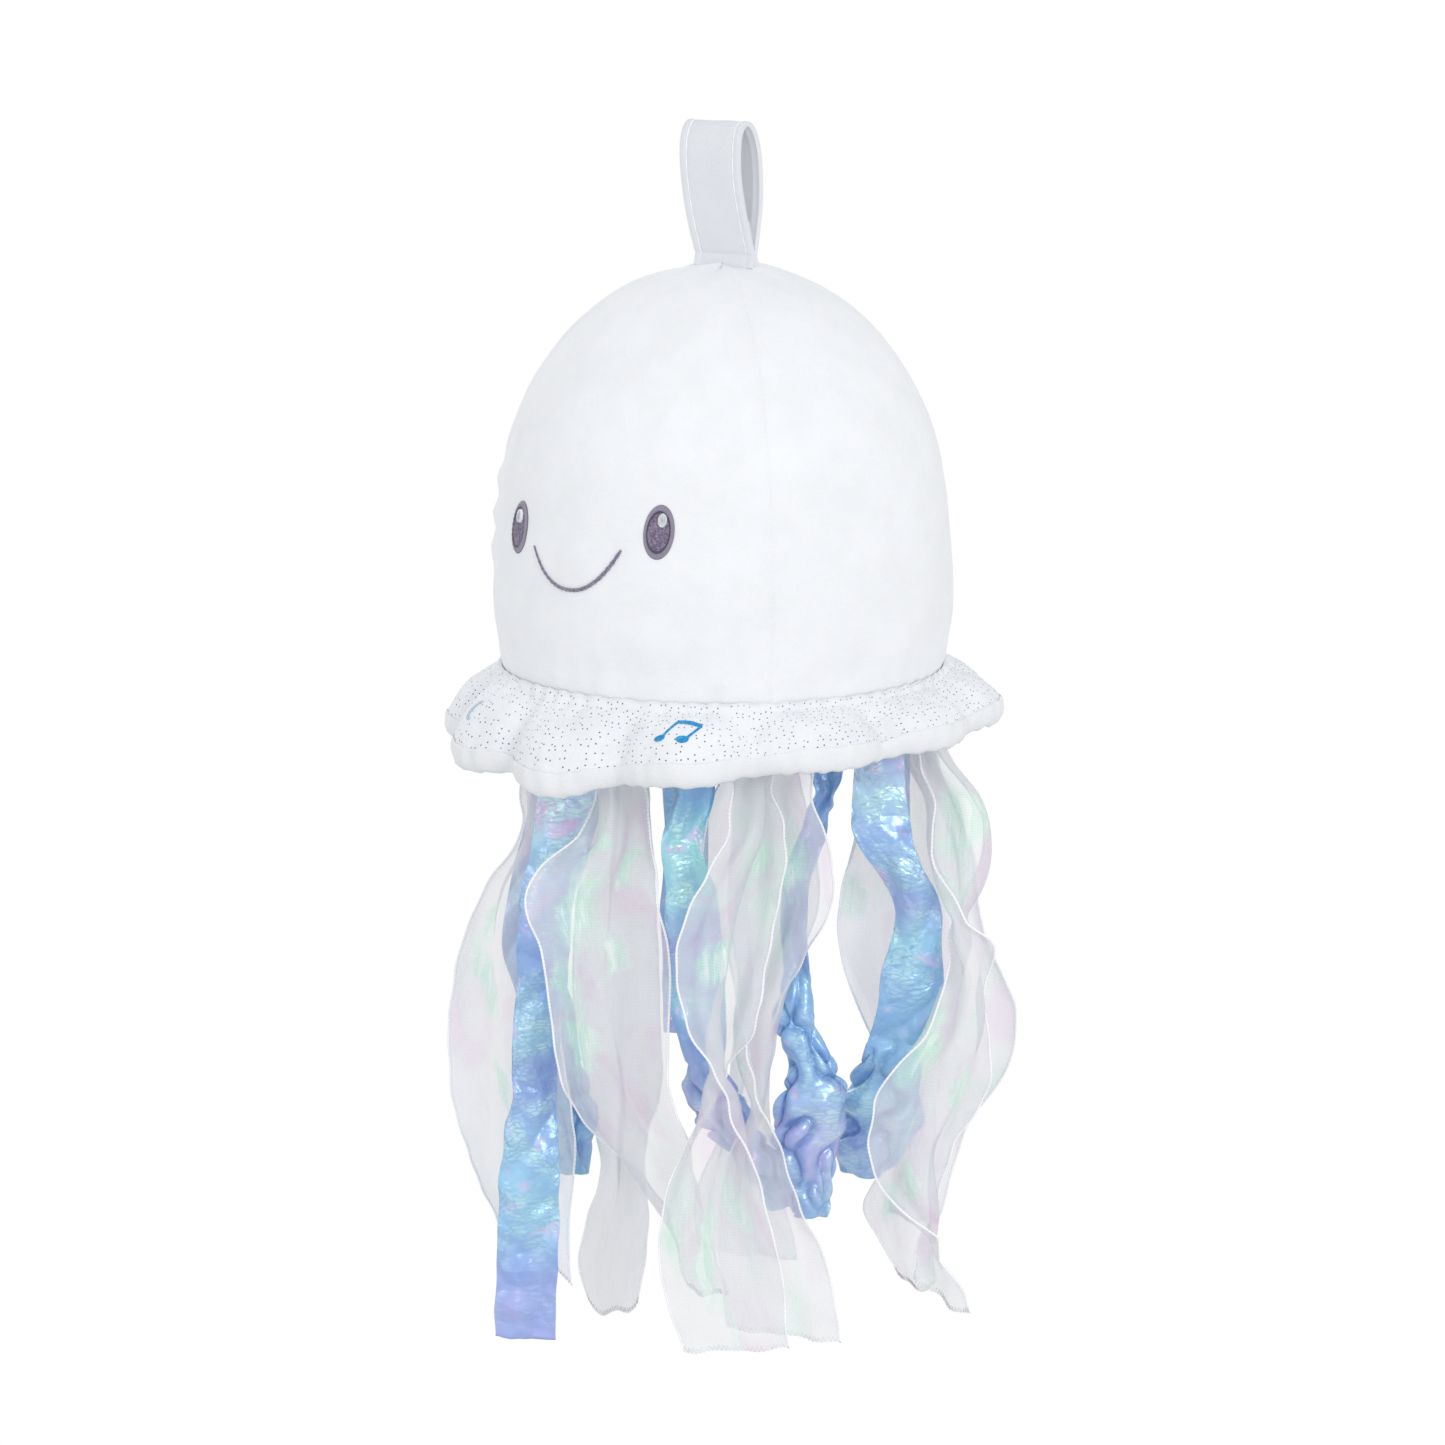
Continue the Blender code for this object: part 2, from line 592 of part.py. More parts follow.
def mark_outline():
    """A plain crescent, whose two arcs meet in its tips."""
    tip_x, tip_y = MARK_RADIUS * cos(MARK_TIP_ANGLE), MARK_RADIUS * sin(MARK_TIP_ANGLE)
    bite = hypot(tip_x - MARK_BITE, tip_y)
    bite_angle = atan2(tip_y, tip_x - MARK_BITE)
    outer = arc_points((0, 0), (MARK_RADIUS, MARK_RADIUS), MARK_TIP_ANGLE, FULL_TURN - MARK_TIP_ANGLE, 8)
    inner = arc_points((MARK_BITE, 0), (bite, bite), FULL_TURN - bite_angle, bite_angle, 6)
    return outer + inner[1:-1]


def make_print(blue, pale, carrier):
    pitch = FULL_TURN / SCALLOPS
    printed_shape("music_note", note_outline(), NOTE_SCALLOP * pitch, blue, carrier)
    printed_shape("crescent_mark", mark_outline(), MARK_SCALLOP * pitch, pale, carrier)


# Streamers

def view_point(across, near, height):
    """A point given across and towards the side that the photograph shows."""
    x = across * cos(VIEW_TURN) + near * sin(VIEW_TURN)
    y = across * sin(VIEW_TURN) - near * cos(VIEW_TURN)
    return Vector((x, y, height))


def station_at(stations, drop):
    """Read every value of a route at one drop, on a smooth curve through its stations."""
    last = len(stations) - 2
    index = 0
    while index < last and stations[index + 1][0] < drop:
        index += 1
    before = stations[max(0, index - 1)]
    here, after = stations[index], stations[index + 1]
    beyond = stations[min(len(stations) - 1, index + 2)]
    length = after[0] - here[0]
    share = min(1.0, (drop - here[0]) / length)
    values = []
    for i in range(1, len(here)):
        into = (after[i] - before[i]) / (after[0] - before[0]) * length
        out = (beyond[i] - here[i]) / (beyond[0] - here[0]) * length
        cube, square = share**3, share**2
        value = (2 * cube - 3 * square + 1) * here[i] + (cube - 2 * square + share) * into
        values.append(value + (3 * square - 2 * cube) * after[i] + (cube - square) * out)
    return values


def route_stations(angle, stations, top_share):
    """The stations in metres and radians, begun at the root, where the cloth lies along the seam."""
    first_turn = stations[0][3]
    turn = -angle + 180 * round((first_turn + angle) / 180)
    rows = [(GAP, 0.0, 0.0, radians(turn), top_share)]
    for drop, side, near, turn, spread in stations:
        rows.append((drop * MM, side * MM, near * MM, radians(turn), spread))
    return rows


def sample_drops(start, end, gathers):
    """Heights of the rows: wide apart where the cloth is flat, close together where it is gathered."""
    flat_end = min(end, gathers)
    count = ceil((flat_end - start) / ROW_STEP)
    drops = [start + (flat_end - start) * i / count for i in range(count + 1)]
    if end > gathers:
        count = ceil((end - gathers) / GATHER_ROW)
        drops += [gathers + (end - gathers) * i / count for i in range(1, count + 1)]
    return drops


def streamer(name, route, width, gathers, top_share, columns, material, carrier):
    """A streamer as one thin closed strip, fattened and rippled where it is gathered."""
    angle, inset, stations = route
    root = SEAM_RADIUS - inset * MM
    root_across, root_near = root * sin(radians(angle)), root * cos(radians(angle))
    rows = route_stations(angle, stations, top_share)
    start, end = rows[0][0], rows[-1][0]
    bm = bmesh.new()
    loops = []
    for drop in sample_drops(start, end, gathers):
        side, near, turn, spread = station_at(rows, drop)
        fat = 0.0
        if drop > gathers:
            share = (drop - gathers) / (end - gathers)
            ripple = cos(FULL_TURN * drop / GATHER_PITCH)
            fat = GATHER_DEPTH * sqrt(sin(pi * min(GATHER_END, share))) * (1 + GATHER_RIPPLE * ripple)
            spread *= 1 + GATHER_SPREAD * ripple
        half = width * spread / 2
        along = Vector((cos(turn), sin(turn)))
        out = Vector((-sin(turn), cos(turn)))
        middle = Vector((root_across + side, root_near + near))
        upper, lower = [], []
        for i in range(columns + 1):
            u = 2 * i / columns - 1
            swell = max(CLOTH, fat * sqrt(max(0.0, 1 - u * u))) / 2
            place = middle + along * half * u
            upper.append(bm.verts.new(view_point(*(place + out * swell), -drop)))
            lower.append(bm.verts.new(view_point(*(place - out * swell), -drop)))
        loops.append(upper + lower[::-1])
    grid_faces(bm, loops, closed=True)
    bm.faces.new(loops[0])
    bm.faces.new(loops[-1])
    return add_piece(name, bm, material, carrier)


def make_streamers(organza, foil, carrier):
    never = 1.0
    for name, route in ORGANZA_ROUTES.items():
        streamer(name, route, ORGANZA_WIDTH, never, ORGANZA_TOP_SHARE, ORGANZA_COLUMNS, organza, carrier)
    for name, (angle, inset, gathers, stations) in FOIL_ROUTES.items():
        route = (angle, inset, stations)
        begin = gathers * MM if gathers else never
        streamer(name, route, FOIL_WIDTH, begin, FOIL_TOP_SHARE, FOIL_COLUMNS, foil, carrier)


def make_jellyfish():
    clear_scene()
    carrier = bpy.data.objects.new("hanging_point", None)
    bpy.context.collection.objects.link(carrier)
    carrier.location = (0, LOOP_LEAN / 2, -HANG_HEIGHT)

    plush = make_material("white_plush", (0.93, 0.94, 0.96), 0.9)
    lining = make_material("plain_plush", (0.9, 0.91, 0.93), 0.9)
    glitter = make_material("glitter_plush", (0.9, 0.9, 0.92), 0.7)
    band = make_material("cotton_band", (0.88, 0.88, 0.88), 0.85)
    fibre = make_material("fibre_fill", (0.95, 0.95, 0.95), 1.0)
    shell = make_material("unit_plastic", (0.75, 0.75, 0.77), 0.5)
    dark = make_material("dark_thread", (0.14, 0.11, 0.15), 0.6)
    white = make_material("white_thread", (0.95, 0.95, 0.95), 0.6)
    blue = make_material("blue_print", (0.01, 0.28, 0.6), 0.5)
    pale = make_material("pale_print", (0.62, 0.7, 0.8), 0.5)
    organza = make_material("organza", (0.85, 0.86, 0.88), 0.35)
    foil = make_material("foil_cloth", (0.16, 0.45, 0.82), 0.25, 0.3)

    seams = panel_seams()
    for i, word in enumerate(("front", "right", "back", "left")):
        end = seams[(i + 1) % 4] + (FULL_TURN if i == 3 else 0)
        head_panel(f"head_panel_{word}", seams[i], end, plush, carrier)
    make_base(plush, carrier)
    make_stuffing(fibre, carrier)
    make_sound_unit(shell, carrier)
    make_face(dark, white, carrier)
    make_smile(dark, carrier)
    make_loop(band, carrier)
    make_collar(glitter, lining, carrier)
    make_print(blue, pale, carrier)
    make_streamers(organza, foil, carrier)


make_jellyfish()
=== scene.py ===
"""Looks of the hanging plush jellyfish: short-pile plush, embroidery, glitter collar, sheer organza
streamers with overlocked edges, and crinkled blue foil streamers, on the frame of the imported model."""

from math import atan2, ceil, cos, exp, hypot, pi, radians, sin, sqrt, tau

import bmesh
import bpy
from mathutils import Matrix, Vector, noise
from mathutils.bvhtree import BVHTree


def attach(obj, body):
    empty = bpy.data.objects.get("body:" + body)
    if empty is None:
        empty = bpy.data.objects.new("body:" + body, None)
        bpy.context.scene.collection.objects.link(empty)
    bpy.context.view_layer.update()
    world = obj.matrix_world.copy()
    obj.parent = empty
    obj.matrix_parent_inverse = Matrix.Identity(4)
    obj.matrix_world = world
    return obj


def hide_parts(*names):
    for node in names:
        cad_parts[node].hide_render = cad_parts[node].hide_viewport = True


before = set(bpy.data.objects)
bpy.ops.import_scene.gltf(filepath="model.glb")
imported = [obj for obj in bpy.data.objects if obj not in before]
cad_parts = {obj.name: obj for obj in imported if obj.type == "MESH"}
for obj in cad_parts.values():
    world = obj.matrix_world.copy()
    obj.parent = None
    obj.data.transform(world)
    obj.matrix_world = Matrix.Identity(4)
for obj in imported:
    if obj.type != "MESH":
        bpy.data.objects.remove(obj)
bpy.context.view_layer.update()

MM = 0.001

# Sizes of the real thing. They are those of the part's source, but for the eyes and the collar's creases,
# which follow the photograph more closely here.
GAP = 0.3 * MM
HEAD_RADIUS = 81 * MM
SEAM_RADIUS = 75.5 * MM
HEAD_HEIGHT = 140 * MM
WIDEST_HEIGHT = 25 * MM
SHOULDER = 2.65
LOWER_SHARE = 0.18
BASE_THICKNESS = 2 * MM
BASE_INSET = 3.8 * MM
SEAM_ANGLES = [radians(a) for a in (-50, 50, 130, 230)]
EYE_ANGLE = radians(22.5)
EYE_HEIGHT = 57 * MM
EYE_WIDTH = 10.7 * MM
EYE_TALL = 17.9 * MM
EYE_TILT = 2 * MM  # how far the right eye is over the middle height, and the left one under it
GLINT_WIDTH = 3.2 * MM
GLINT_TALL = 4.8 * MM
SMILE_ANGLE = radians(14)
SMILE_MIDDLE = radians(-1)
SMILE_HEIGHT = 37.7 * MM
SMILE_RISE = 13.6 * MM
SMILE_TILT = 1.2 * MM
LOOP_HEIGHT = 48 * MM
LOOP_WIDTH = 25 * MM
LOOP_DEPTH = 14 * MM
BAND = 2.4 * MM
LOOP_LEAN = 4 * MM
LOOP_ROOT = 4 * MM
LOOP_TAPER = 0.6
SCALLOPS = 12
SCALLOP_DROOPS = tuple(droop * MM for droop in (27, 19, 15, 13, 14, 16, 18, 18, 19, 21, 24, 26))
COLLAR_REACH = 21 * MM
COLLAR_CREASE = 6 * MM
COLLAR_PUFF = 5 * MM
COLLAR_FOLD = 6.2 * MM
LIP_GAP = 0.18 * MM
PRINT_LIFT = 0.12 * MM
ORGANZA_WIDTH = 45 * MM
PLEATS = 2.6
PLEATS_OPEN = 34 * MM  # the length from the root over which the pleats open
STITCH_STEP = 0.65 * MM
STITCH_RADIUS = 0.42 * MM
HEM_HEIGHT = 1.8 * MM
HEM_STITCHES = 50
# How far each organza streamer's end slants down to the right, how much its corners are rounded and over what
# length it hangs flat, in millimetres
ORGANZA_ENDS = {1: (9, 0, 45), 2: (-2, 2, 45), 3: (-1, 0, 45), 4: (2, 0, 45), 5: (5, 2, 45), 6: (3, 5, 45),
                7: (2, 2, 45), 8: (2, 1, 45), 9: (0, 6, 90)}
FOIL_WIDTH = 22 * MM
PILLOW_HEIGHT = 6.2 * MM
HANG_HEIGHT = HEAD_HEIGHT + GAP + LOOP_HEIGHT - BAND
VIEW_TURN = radians(38)

# Rows of the meshes, and the rest of the camera's view: its focal length and the photograph's width in pixels
HEAD_COLUMNS = 144
COLLAR_COLUMNS = 480
ORGANZA_ROW = 1.9 * MM
FOIL_ROW = 1.1 * MM
GATHER_ROW = 0.7 * MM
VIEW_PITCH = radians(11.9)
VIEW_DISTANCE = 1.34
VIEW_HEIGHT = -20 * MM
FOCAL_LENGTH = 3840
PHOTO_WIDTH = 1445
FLOOR_HEIGHT = -2.0
MERGE = 1e-7  # vertices nearer than this become one

# Streamer routes in millimetres and degrees, as in the part's source: root angle, inset, then stations of
# drop, side, nearer, turn, spread
ORGANZA_ROUTES = [
    (-92, 8, [
        (44, 4, 3, 32, 0.45), (62, 4, 3, 34, 0.55), (80, -3, 3, 26, 0.72), (102, -8, 4, 19, 0.84),
        (135, -10, 5, 14, 0.92), (156, -8, 6, 11, 0.96), (175, -5, 7, 9, 0.9), (197, -3, 8, 8, 0.7),
        (215, 1, 8, 9, 0.55)]),
    (-38, 9, [
        (32, 5, 1, 24, 0.43), (48, 4, 5, 15, 0.55), (58, -1, 9, 2, 0.88), (69, -3, 10, 0, 1.0),
        (86, 1, 10, 0, 0.97), (114, 3, 9, 3, 0.9), (136, 5, 6, 9, 0.86), (155, 13, 0, 16, 0.82),
        (175, 22, -8, 33, 0.62), (194, 29, -14, 48, 0.55), (217, 36, -16, 45, 0.5)]),
    (10, 8, [
        (29, -1, -1, -60, 0.32), (43, -1, 2, -46, 0.43), (55, -4, 4, -33, 0.57), (73, -9, 6, -26, 0.71),
        (92, -12, 7, -25, 0.65), (108, -13, 7, -36, 0.5), (124, -13, 6, -88, 0.32), (135, -13, 6, -130, 0.3),
        (153, -13, 6, -165, 0.58), (172, -14, 5, -174, 0.81), (198, -12, 6, -177, 0.93),
        (224, -7, 6, -177, 0.8)]),
    (26, 16, [
        (32, -13, -1, -11, 0.73), (47, -12, -1, -8, 0.92), (63, -11, -2, -7, 1.0),
        (77, -10, -3, -10, 0.88), (91, -12, -3, -20, 0.6), (109, -16, -2, -43, 0.46),
        (127, -16, -2, -64, 0.4), (145, -14, -2, -96, 0.36), (159, -16, -1, -147, 0.43),
        (179, -14, 0, -164, 0.65), (198, -9, 1, -171, 0.85), (225, -5, 2, -174, 0.88)]),
    (76, 8, [
        (30, 6, 5, -50, 0.47), (41, 13, 13, -42, 0.58), (56, 15, 20, -38, 0.7), (69, 15, 29, -58, 0.5),
        (79, 15, 35, -98, 0.34), (91, 18, 38, -161, 0.3), (105, 17, 39, -196, 0.42),
        (115, 15, 39, -201, 0.6), (131, 8, 39, -199, 0.92), (144, 5, 38, -202, 0.93),
        (158, 1, 38, -207, 0.78), (173, 2, 37, -213, 0.58), (188, 6, 36, -250, 0.42),
        (200, 9, 36, -300, 0.45), (213, 10, 37, -328, 0.5)]),
    (60, 12, [
        (32, 1, -10, -16, 0.35), (55, 1, -10, -11, 0.47), (68, 1, -10, -8, 0.64), (85, 1, -12, -7, 0.73),
        (102, 2, -16, -7, 0.69), (117, 5, -19, -4, 0.58), (132, 8, -22, 0, 0.44), (155, 12, -23, 8, 0.36),
        (172, 12, -19, 7, 0.37), (185, 8, -13, 5, 0.47), (197, 7, -7, 5, 0.54), (217, 13, -2, 3, 0.3)]),
    (102, 8, [
        (39, 6, 4, -34, 0.35), (68, 12, 6, -10, 0.5), (98, 14, 7, 4, 0.56), (117, 18, 6, 7, 0.77),
        (127, 20, 6, 6, 0.83), (141, 19, 5, 9, 0.84), (155, 16, 4, 7, 0.75), (172, 10, 3, 5, 0.53),
        (207, 3, 2, 0, 0.4)]),
    (176, 8, [
        (59, 12, 5, 4, 0.57), (100, 14, 7, 3, 0.76), (122, 11, 9, 5, 0.53), (145, 7, 11, 24, 0.34),
        (160, 5, 13, 45, 0.32), (179, 4, 12, 32, 0.36), (215, 2, 11, 3, 0.75), (236, 5, 11, 3, 0.84)]),
    (-138, 8, [
        (55, 8, 3, -14, 0.4), (94, 6, 7, -13, 0.62), (130, 6, 11, -11, 0.69), (165, 9, 15, -18, 0.56),
        (187, 8, 17, -29, 0.38), (199, 8, 20, -30, 0.36), (212, 7, 24, -16, 0.48), (229, 5, 28, -9, 0.55),
        (245, 5, 31, -6, 0.42)]),
]
# A foil route also has the drop at which its gathered end begins, or None
FOIL_ROUTES = [
    (-62, 8, None, [
        (37, 7, 0, 10, 1.0), (58, 4, 0, 11, 0.97), (76, -1, 1, 6, 0.85), (93, -2, 1, 6, 0.82),
        (129, -5, 1, -7, 0.76), (145, -5, 1, -20, 0.74), (158, -7, 1, -6, 0.85), (194, -8, 2, 0, 0.98),
        (234, -10, 2, 0, 0.98)]),
    (-9, 8, 126, [
        (30, 1, -4, 26, 0.61), (45, -2, -4, 26, 0.61), (56, -2, -4, 8, 0.66), (65, 0, -5, 0, 0.8),
        (82, 1, -8, 0, 0.87), (104, 2, -10, -6, 0.9), (120, 4, -12, -7, 0.74), (129, 5, -14, -9, 0.62),
        (140, 6, -23, -12, 0.84), (151, 10, -31, -12, 0.86), (164, 18, -40, -6, 0.83),
        (175, 25, -42, -8, 0.7), (189, 32, -42, -10, 0.5)]),
    (38, 20, 98, [
        (30, 1, -4, 10, 0.5), (36, 1, -2, 35, 0.36), (44, -3, -4, -26, 0.4), (67, -9, -4, 0, 0.42),
        (98, -9, -2, 0, 0.42), (109, -9, -2, 0, 0.62), (120, -8, -2, 0, 0.62), (130, -4, -2, 0, 0.75),
        (140, -3, -1, -4, 1.1), (150, -4, -1, -4, 1.15), (159, -6, -1, -5, 1.08), (169, -5, -1, -5, 0.92),
        (186, -4, -1, -10, 0.55)]),
    (50, 9, 124, [
        (28, 2, -2, -7, 0.8), (46, 3, -1, 0, 0.88), (53, 5, 0, 6, 0.84), (66, 12, 0, 7, 0.82),
        (77, 16, 0, 8, 0.76), (85, 16, 0, 7, 0.8), (99, 14, 0, 5, 0.95), (109, 13, 0, 5, 0.98),
        (119, 10, 0, 6, 0.86), (131, 7, -3, 18, 0.98), (140, 5, -6, 26, 1.2), (152, 4, -9, 28, 1.35),
        (164, 0, -12, 28, 1.15), (176, -3, -15, 28, 0.7)]),
    (-116, 8, 150, [
        (51, 3, 1, 5, 0.95), (91, -7, 4, 0, 0.9), (107, -9, 5, -6, 0.9), (128, -4, 6, 0, 0.87),
        (158, 3, 6, 0, 0.76), (170, 6, 6, 0, 0.66), (193, 6, 6, 0, 0.52)]),
    (118, 8, None, [
        (44, -1, 1, 0, 0.8), (76, 2, 1, -8, 0.72), (97, 11, -1, -8, 0.74), (130, 8, -2, 0, 0.83),
        (149, 6, -2, 0, 0.8)]),
    (-165, 8, None, [
        (59, 4, 5, 0, 0.75), (100, 3, 6, 8, 0.72), (123, 3, 7, 0, 0.72), (150, 4, 7, 0, 0.72)]),
]


def hang(point):
    """From a height over the collar's seam to the frame, whose origin is where the loop hangs."""
    return Vector((point[0], point[1] + LOOP_LEAN / 2, point[2] - HANG_HEIGHT))


def unhang(point):
    return point - hang(Vector((0, 0, 0)))


def round_point(radius, azimuth, height):
    return Vector((radius * sin(azimuth), -radius * cos(azimuth), height))


def smooth_step(low, high, value):
    share = min(1.0, max(0.0, (value - low) / (high - low)))
    return share * share * (3 - 2 * share)


def bell(value, width):
    return exp(-((value / width) ** 2))


def ripple(x, y, z=0.0):
    """Smooth noise from -1 to 1."""
    return noise.noise(Vector((x, y, z)))


def crease(x, y, z=0.0):
    """Noise with sharp folds: 0 in the fold and up to 1 between folds."""
    return min(1.0, abs(ripple(x, y, z)) * 2.2)


# Painted mint sheen, as streaks that show in the photograph, per organza streamer: across, drop, half width,
# half length in millimetres of cloth, and lean in degrees
MINT_SHEEN_SPOTS = {
    1: [(-9, 116, 5, 22, -28), (-14, 96, 4, 10, 0), (-2, 150, 4, 12, -20)],
    2: [(-6, 70, 9, 22, 22), (12, 57, 5, 9, 40), (-15, 96, 7, 9, 0), (-11, 118, 9, 13, -15),
        (-6, 46, 8, 10, 0), (2, 88, 4, 12, 30)],
    3: [(5, 50, 12, 26, 8), (17, 182, 5, 12, 0), (5, 190, 5, 28, -6), (2, 96, 7, 12, 0), (-8, 84, 6, 12, 20)],
    4: [(8, 58, 9, 20, 10), (-8, 40, 7, 12, 0), (-6, 120, 6, 14, 0), (8, 196, 5, 14, 10)],
    5: [(4, 46, 11, 17, 15), (14, 118, 9, 22, 18), (-4, 72, 6, 12, 0), (6, 168, 5, 12, 0),
        (-10, 138, 5, 14, 0)],
    6: [(-14, 78, 5, 12, 0), (-8, 190, 6, 10, 0)],
    7: [(10, 70, 6, 12, 0), (6, 130, 5, 14, 0)],
    8: [(0, 90, 8, 20, 10), (6, 200, 6, 14, 0)],
}
# Colour down each foil streamer as it looks in the photograph, its pale mint and white tints partly painted
# sheen and glint: drop in millimetres, colour, share of painted glints
FOIL_TINTS = {
    1: [(30, "9fc4f0", 0.9), (44, "d4d8f4", 1.0), (58, "96d4ea", 0.9), (72, "8fb0ec", 0.6),
        (92, "6c9fe6", 0.35), (108, "79b6ee", 0.5), (124, "86cdf0", 1.0), (136, "6a8de0", 0.4),
        (152, "6fa6ea", 0.7), (176, "83cdf2", 0.8), (196, "7fc2f0", 0.6), (212, "8aa2ee", 0.3),
        (234, "a2a8f0", 0.1)],
    2: [(26, "3f93cf", 0.3), (38, "4fb0d6", 0.6), (50, "8fe2e6", 1.0), (70, "8fdcec", 1.0),
        (84, "8aa6ee", 0.4), (96, "86b6f0", 0.5), (104, "84d2f2", 0.7), (116, "6fa2e8", 0.3),
        (132, "9fb0f0", 0.6), (160, "a6b4f2", 0.7), (190, "8fbcf0", 0.5)],
    3: [(26, "5f9fe2", 0.3), (40, "6aa8e8", 0.3), (58, "8aa6ea", 0.4), (84, "9aa8ee", 0.2),
        (98, "6fb0e8", 0.4), (118, "74b4ec", 0.6), (138, "7ab2ee", 0.7), (152, "b8b4f4", 0.9),
        (170, "b2c2f6", 0.8), (186, "8cc4f0", 0.3)],
    4: [(24, "a8b6f0", 0.9), (38, "a4d8f0", 1.0), (50, "78aaee", 0.5), (64, "7cb4ec", 0.9),
        (76, "96a8ee", 0.5), (86, "84d0ec", 0.9), (100, "74b8ee", 0.5), (114, "6cb2ec", 0.3),
        (128, "78c2f0", 0.6), (146, "84c8f2", 0.8), (162, "9ab2f0", 0.6), (176, "8fbcf0", 0.4)],
    5: [(30, "7fa6e6", 0.4), (70, "88b2ea", 0.5), (110, "7aa6e8", 0.4), (150, "64aedb", 0.6),
        (193, "5fb2d4", 0.4)],
    6: [(30, "7fb0ea", 0.5), (80, "8fc6ee", 0.8), (120, "8fa8ee", 0.4), (149, "7fb4ee", 0.5)],
    7: [(30, "6fa6e6", 0.4), (80, "86cdf0", 0.8), (120, "8fa8ee", 0.4), (150, "a2a8f0", 0.3)],
}


# Materials

def shade(code):
    """A colour as it looks in the photograph, made linear."""
    values = [int(code[i:i + 2], 16) / 255 for i in (0, 2, 4)]
    return tuple(v / 12.92 if v < 0.04 else ((v + 0.055) / 1.055) ** 2.4 for v in values)


def add_node(tree, kind, values=None, **settings):
    """A node with its settings, and a value or another node's output at each input named."""
    node = tree.nodes.new(kind)
    for key, value in settings.items():
        setattr(node, key, value)
    for key, value in (values or {}).items():
        if hasattr(value, "is_output"):
            tree.links.new(value, node.inputs[key])
        else:
            node.inputs[key].default_value = value
    return node


class Finish:
    """One material and the short ways in which its nodes are added."""

    def __init__(self, name, roughness, **plain):
        self.material = bpy.data.materials.new(name)
        self.material.use_nodes = True
        self.tree = self.material.node_tree
        self.shader = self.tree.nodes["Principled BSDF"]
        self.shader.inputs["Roughness"].default_value = roughness
        for socket, value in plain.items():
            self.shader.inputs[socket.replace("_", " ")].default_value = value

    def add(self, kind, values=None, **settings):
        return add_node(self.tree, kind, values, **settings)

    def place(self, uv=False):
        """Coordinates of the piece, or those laid out on its cloth."""
        return self.add("ShaderNodeTexCoord").outputs["UV" if uv else "Object"]

    def move(self, where, location=(0, 0, 0), scale=(1, 1, 1), turn=0.0, kind="POINT"):
        values = {"Vector": where, "Location": location, "Rotation": (0, 0, turn), "Scale": scale}
        return self.add("ShaderNodeMapping", values, vector_type=kind).outputs[0]

    def cloud(self, where, scale, detail=2.0, roughness=0.5, distortion=0.0):
        values = {"Vector": where, "Scale": scale, "Detail": detail, "Roughness": roughness,
                  "Distortion": distortion}
        return self.add("ShaderNodeTexNoise", values).outputs["Fac"]

    def cells(self, where, scale, feature="F1", randomness=1.0):
        values = {"Vector": where, "Scale": scale, "Randomness": randomness}
        return self.add("ShaderNodeTexVoronoi", values, voronoi_dimensions="2D", feature=feature)

    def bands(self, where, scale, direction="X", distortion=0.0, detail=0.0):
        values = {"Vector": where, "Scale": scale, "Distortion": distortion, "Detail": detail}
        return self.add("ShaderNodeTexWave", values, bands_direction=direction).outputs["Fac"]

    def ramp(self, value, stops, blend="LINEAR"):
        """A colour ramp, from stops of (place, colour)."""
        node = self.add("ShaderNodeValToRGB", {"Fac": value})
        node.color_ramp.interpolation = blend
        elements = node.color_ramp.elements
        while len(elements) < len(stops):
            elements.new(0.5)
        for element, (place, colour) in zip(elements, stops):
            element.position = place
            element.color = (*colour, 1.0) if hasattr(colour, "__len__") else (colour, colour, colour, 1.0)
        return node.outputs["Color"]

    def fade(self, value, low, high, before=0.0, after=1.0):
        """From one amount to another while a value goes from low to high."""
        return self.ramp(value, [(low, before), (high, after)])

    def sums(self, operation, a, b):
        return self.add("ShaderNodeMath", {0: a, 1: b}, operation=operation).outputs[0]

    def times(self, a, b):
        return self.sums("MULTIPLY", a, b)

    def vectors(self, operation, values):
        return self.add("ShaderNodeVectorMath", values, operation=operation).outputs

    def along(self, axis, vector):
        return self.add("ShaderNodeSeparateXYZ", {0: vector}).outputs[axis]

    def mix(self, share, a, b):
        a, b = (c if hasattr(c, "is_output") else (*c, 1.0) for c in (a, b))
        return self.add("ShaderNodeMix", {0: share, 6: a, 7: b}, data_type="RGBA").outputs[2]

    def stir(self, where, scale, reach):
        """Coordinates pushed about by noise, so that what is laid out on them gets an uneven edge."""
        values = {"Vector": where, "Scale": scale, "Detail": 3.0}
        push = self.add("ShaderNodeTexNoise", values).outputs["Color"]
        centred = self.vectors("ADD", {0: push, 1: (-0.5, -0.5, -0.5)})[0]
        return self.vectors("ADD", {0: where, 1: self.vectors("SCALE", {0: centred, 3: reach})[0]})[0]

    def spots(self, where, places):
        """A mask of soft ovals: each is (across, drop, half width, half length, lean in degrees)."""
        mask = 0.0
        for across, drop, wide, long, lean in places:
            moved = self.move(where, (across, drop, 0), (wide, long, 1), radians(lean), "TEXTURE")
            away = self.vectors("LENGTH", {0: self.vectors("MULTIPLY", {0: moved, 1: (1, 1, 0)})[0]})[1]
            mask = self.sums("MAXIMUM", mask, self.ramp(away, [(0.35, 1.0), (1.0, 0.0)], "EASE"))
        return mask

    def bump(self, height, distance, strength=1.0, over=None):
        values = {"Height": height, "Distance": distance, "Strength": strength}
        if over is not None:
            values["Normal"] = over
        return self.add("ShaderNodeBump", values).outputs[0]

    def use(self, **links):
        for socket, output in links.items():
            self.tree.links.new(output, self.shader.inputs[socket.replace("_", " ")])
        return self.material


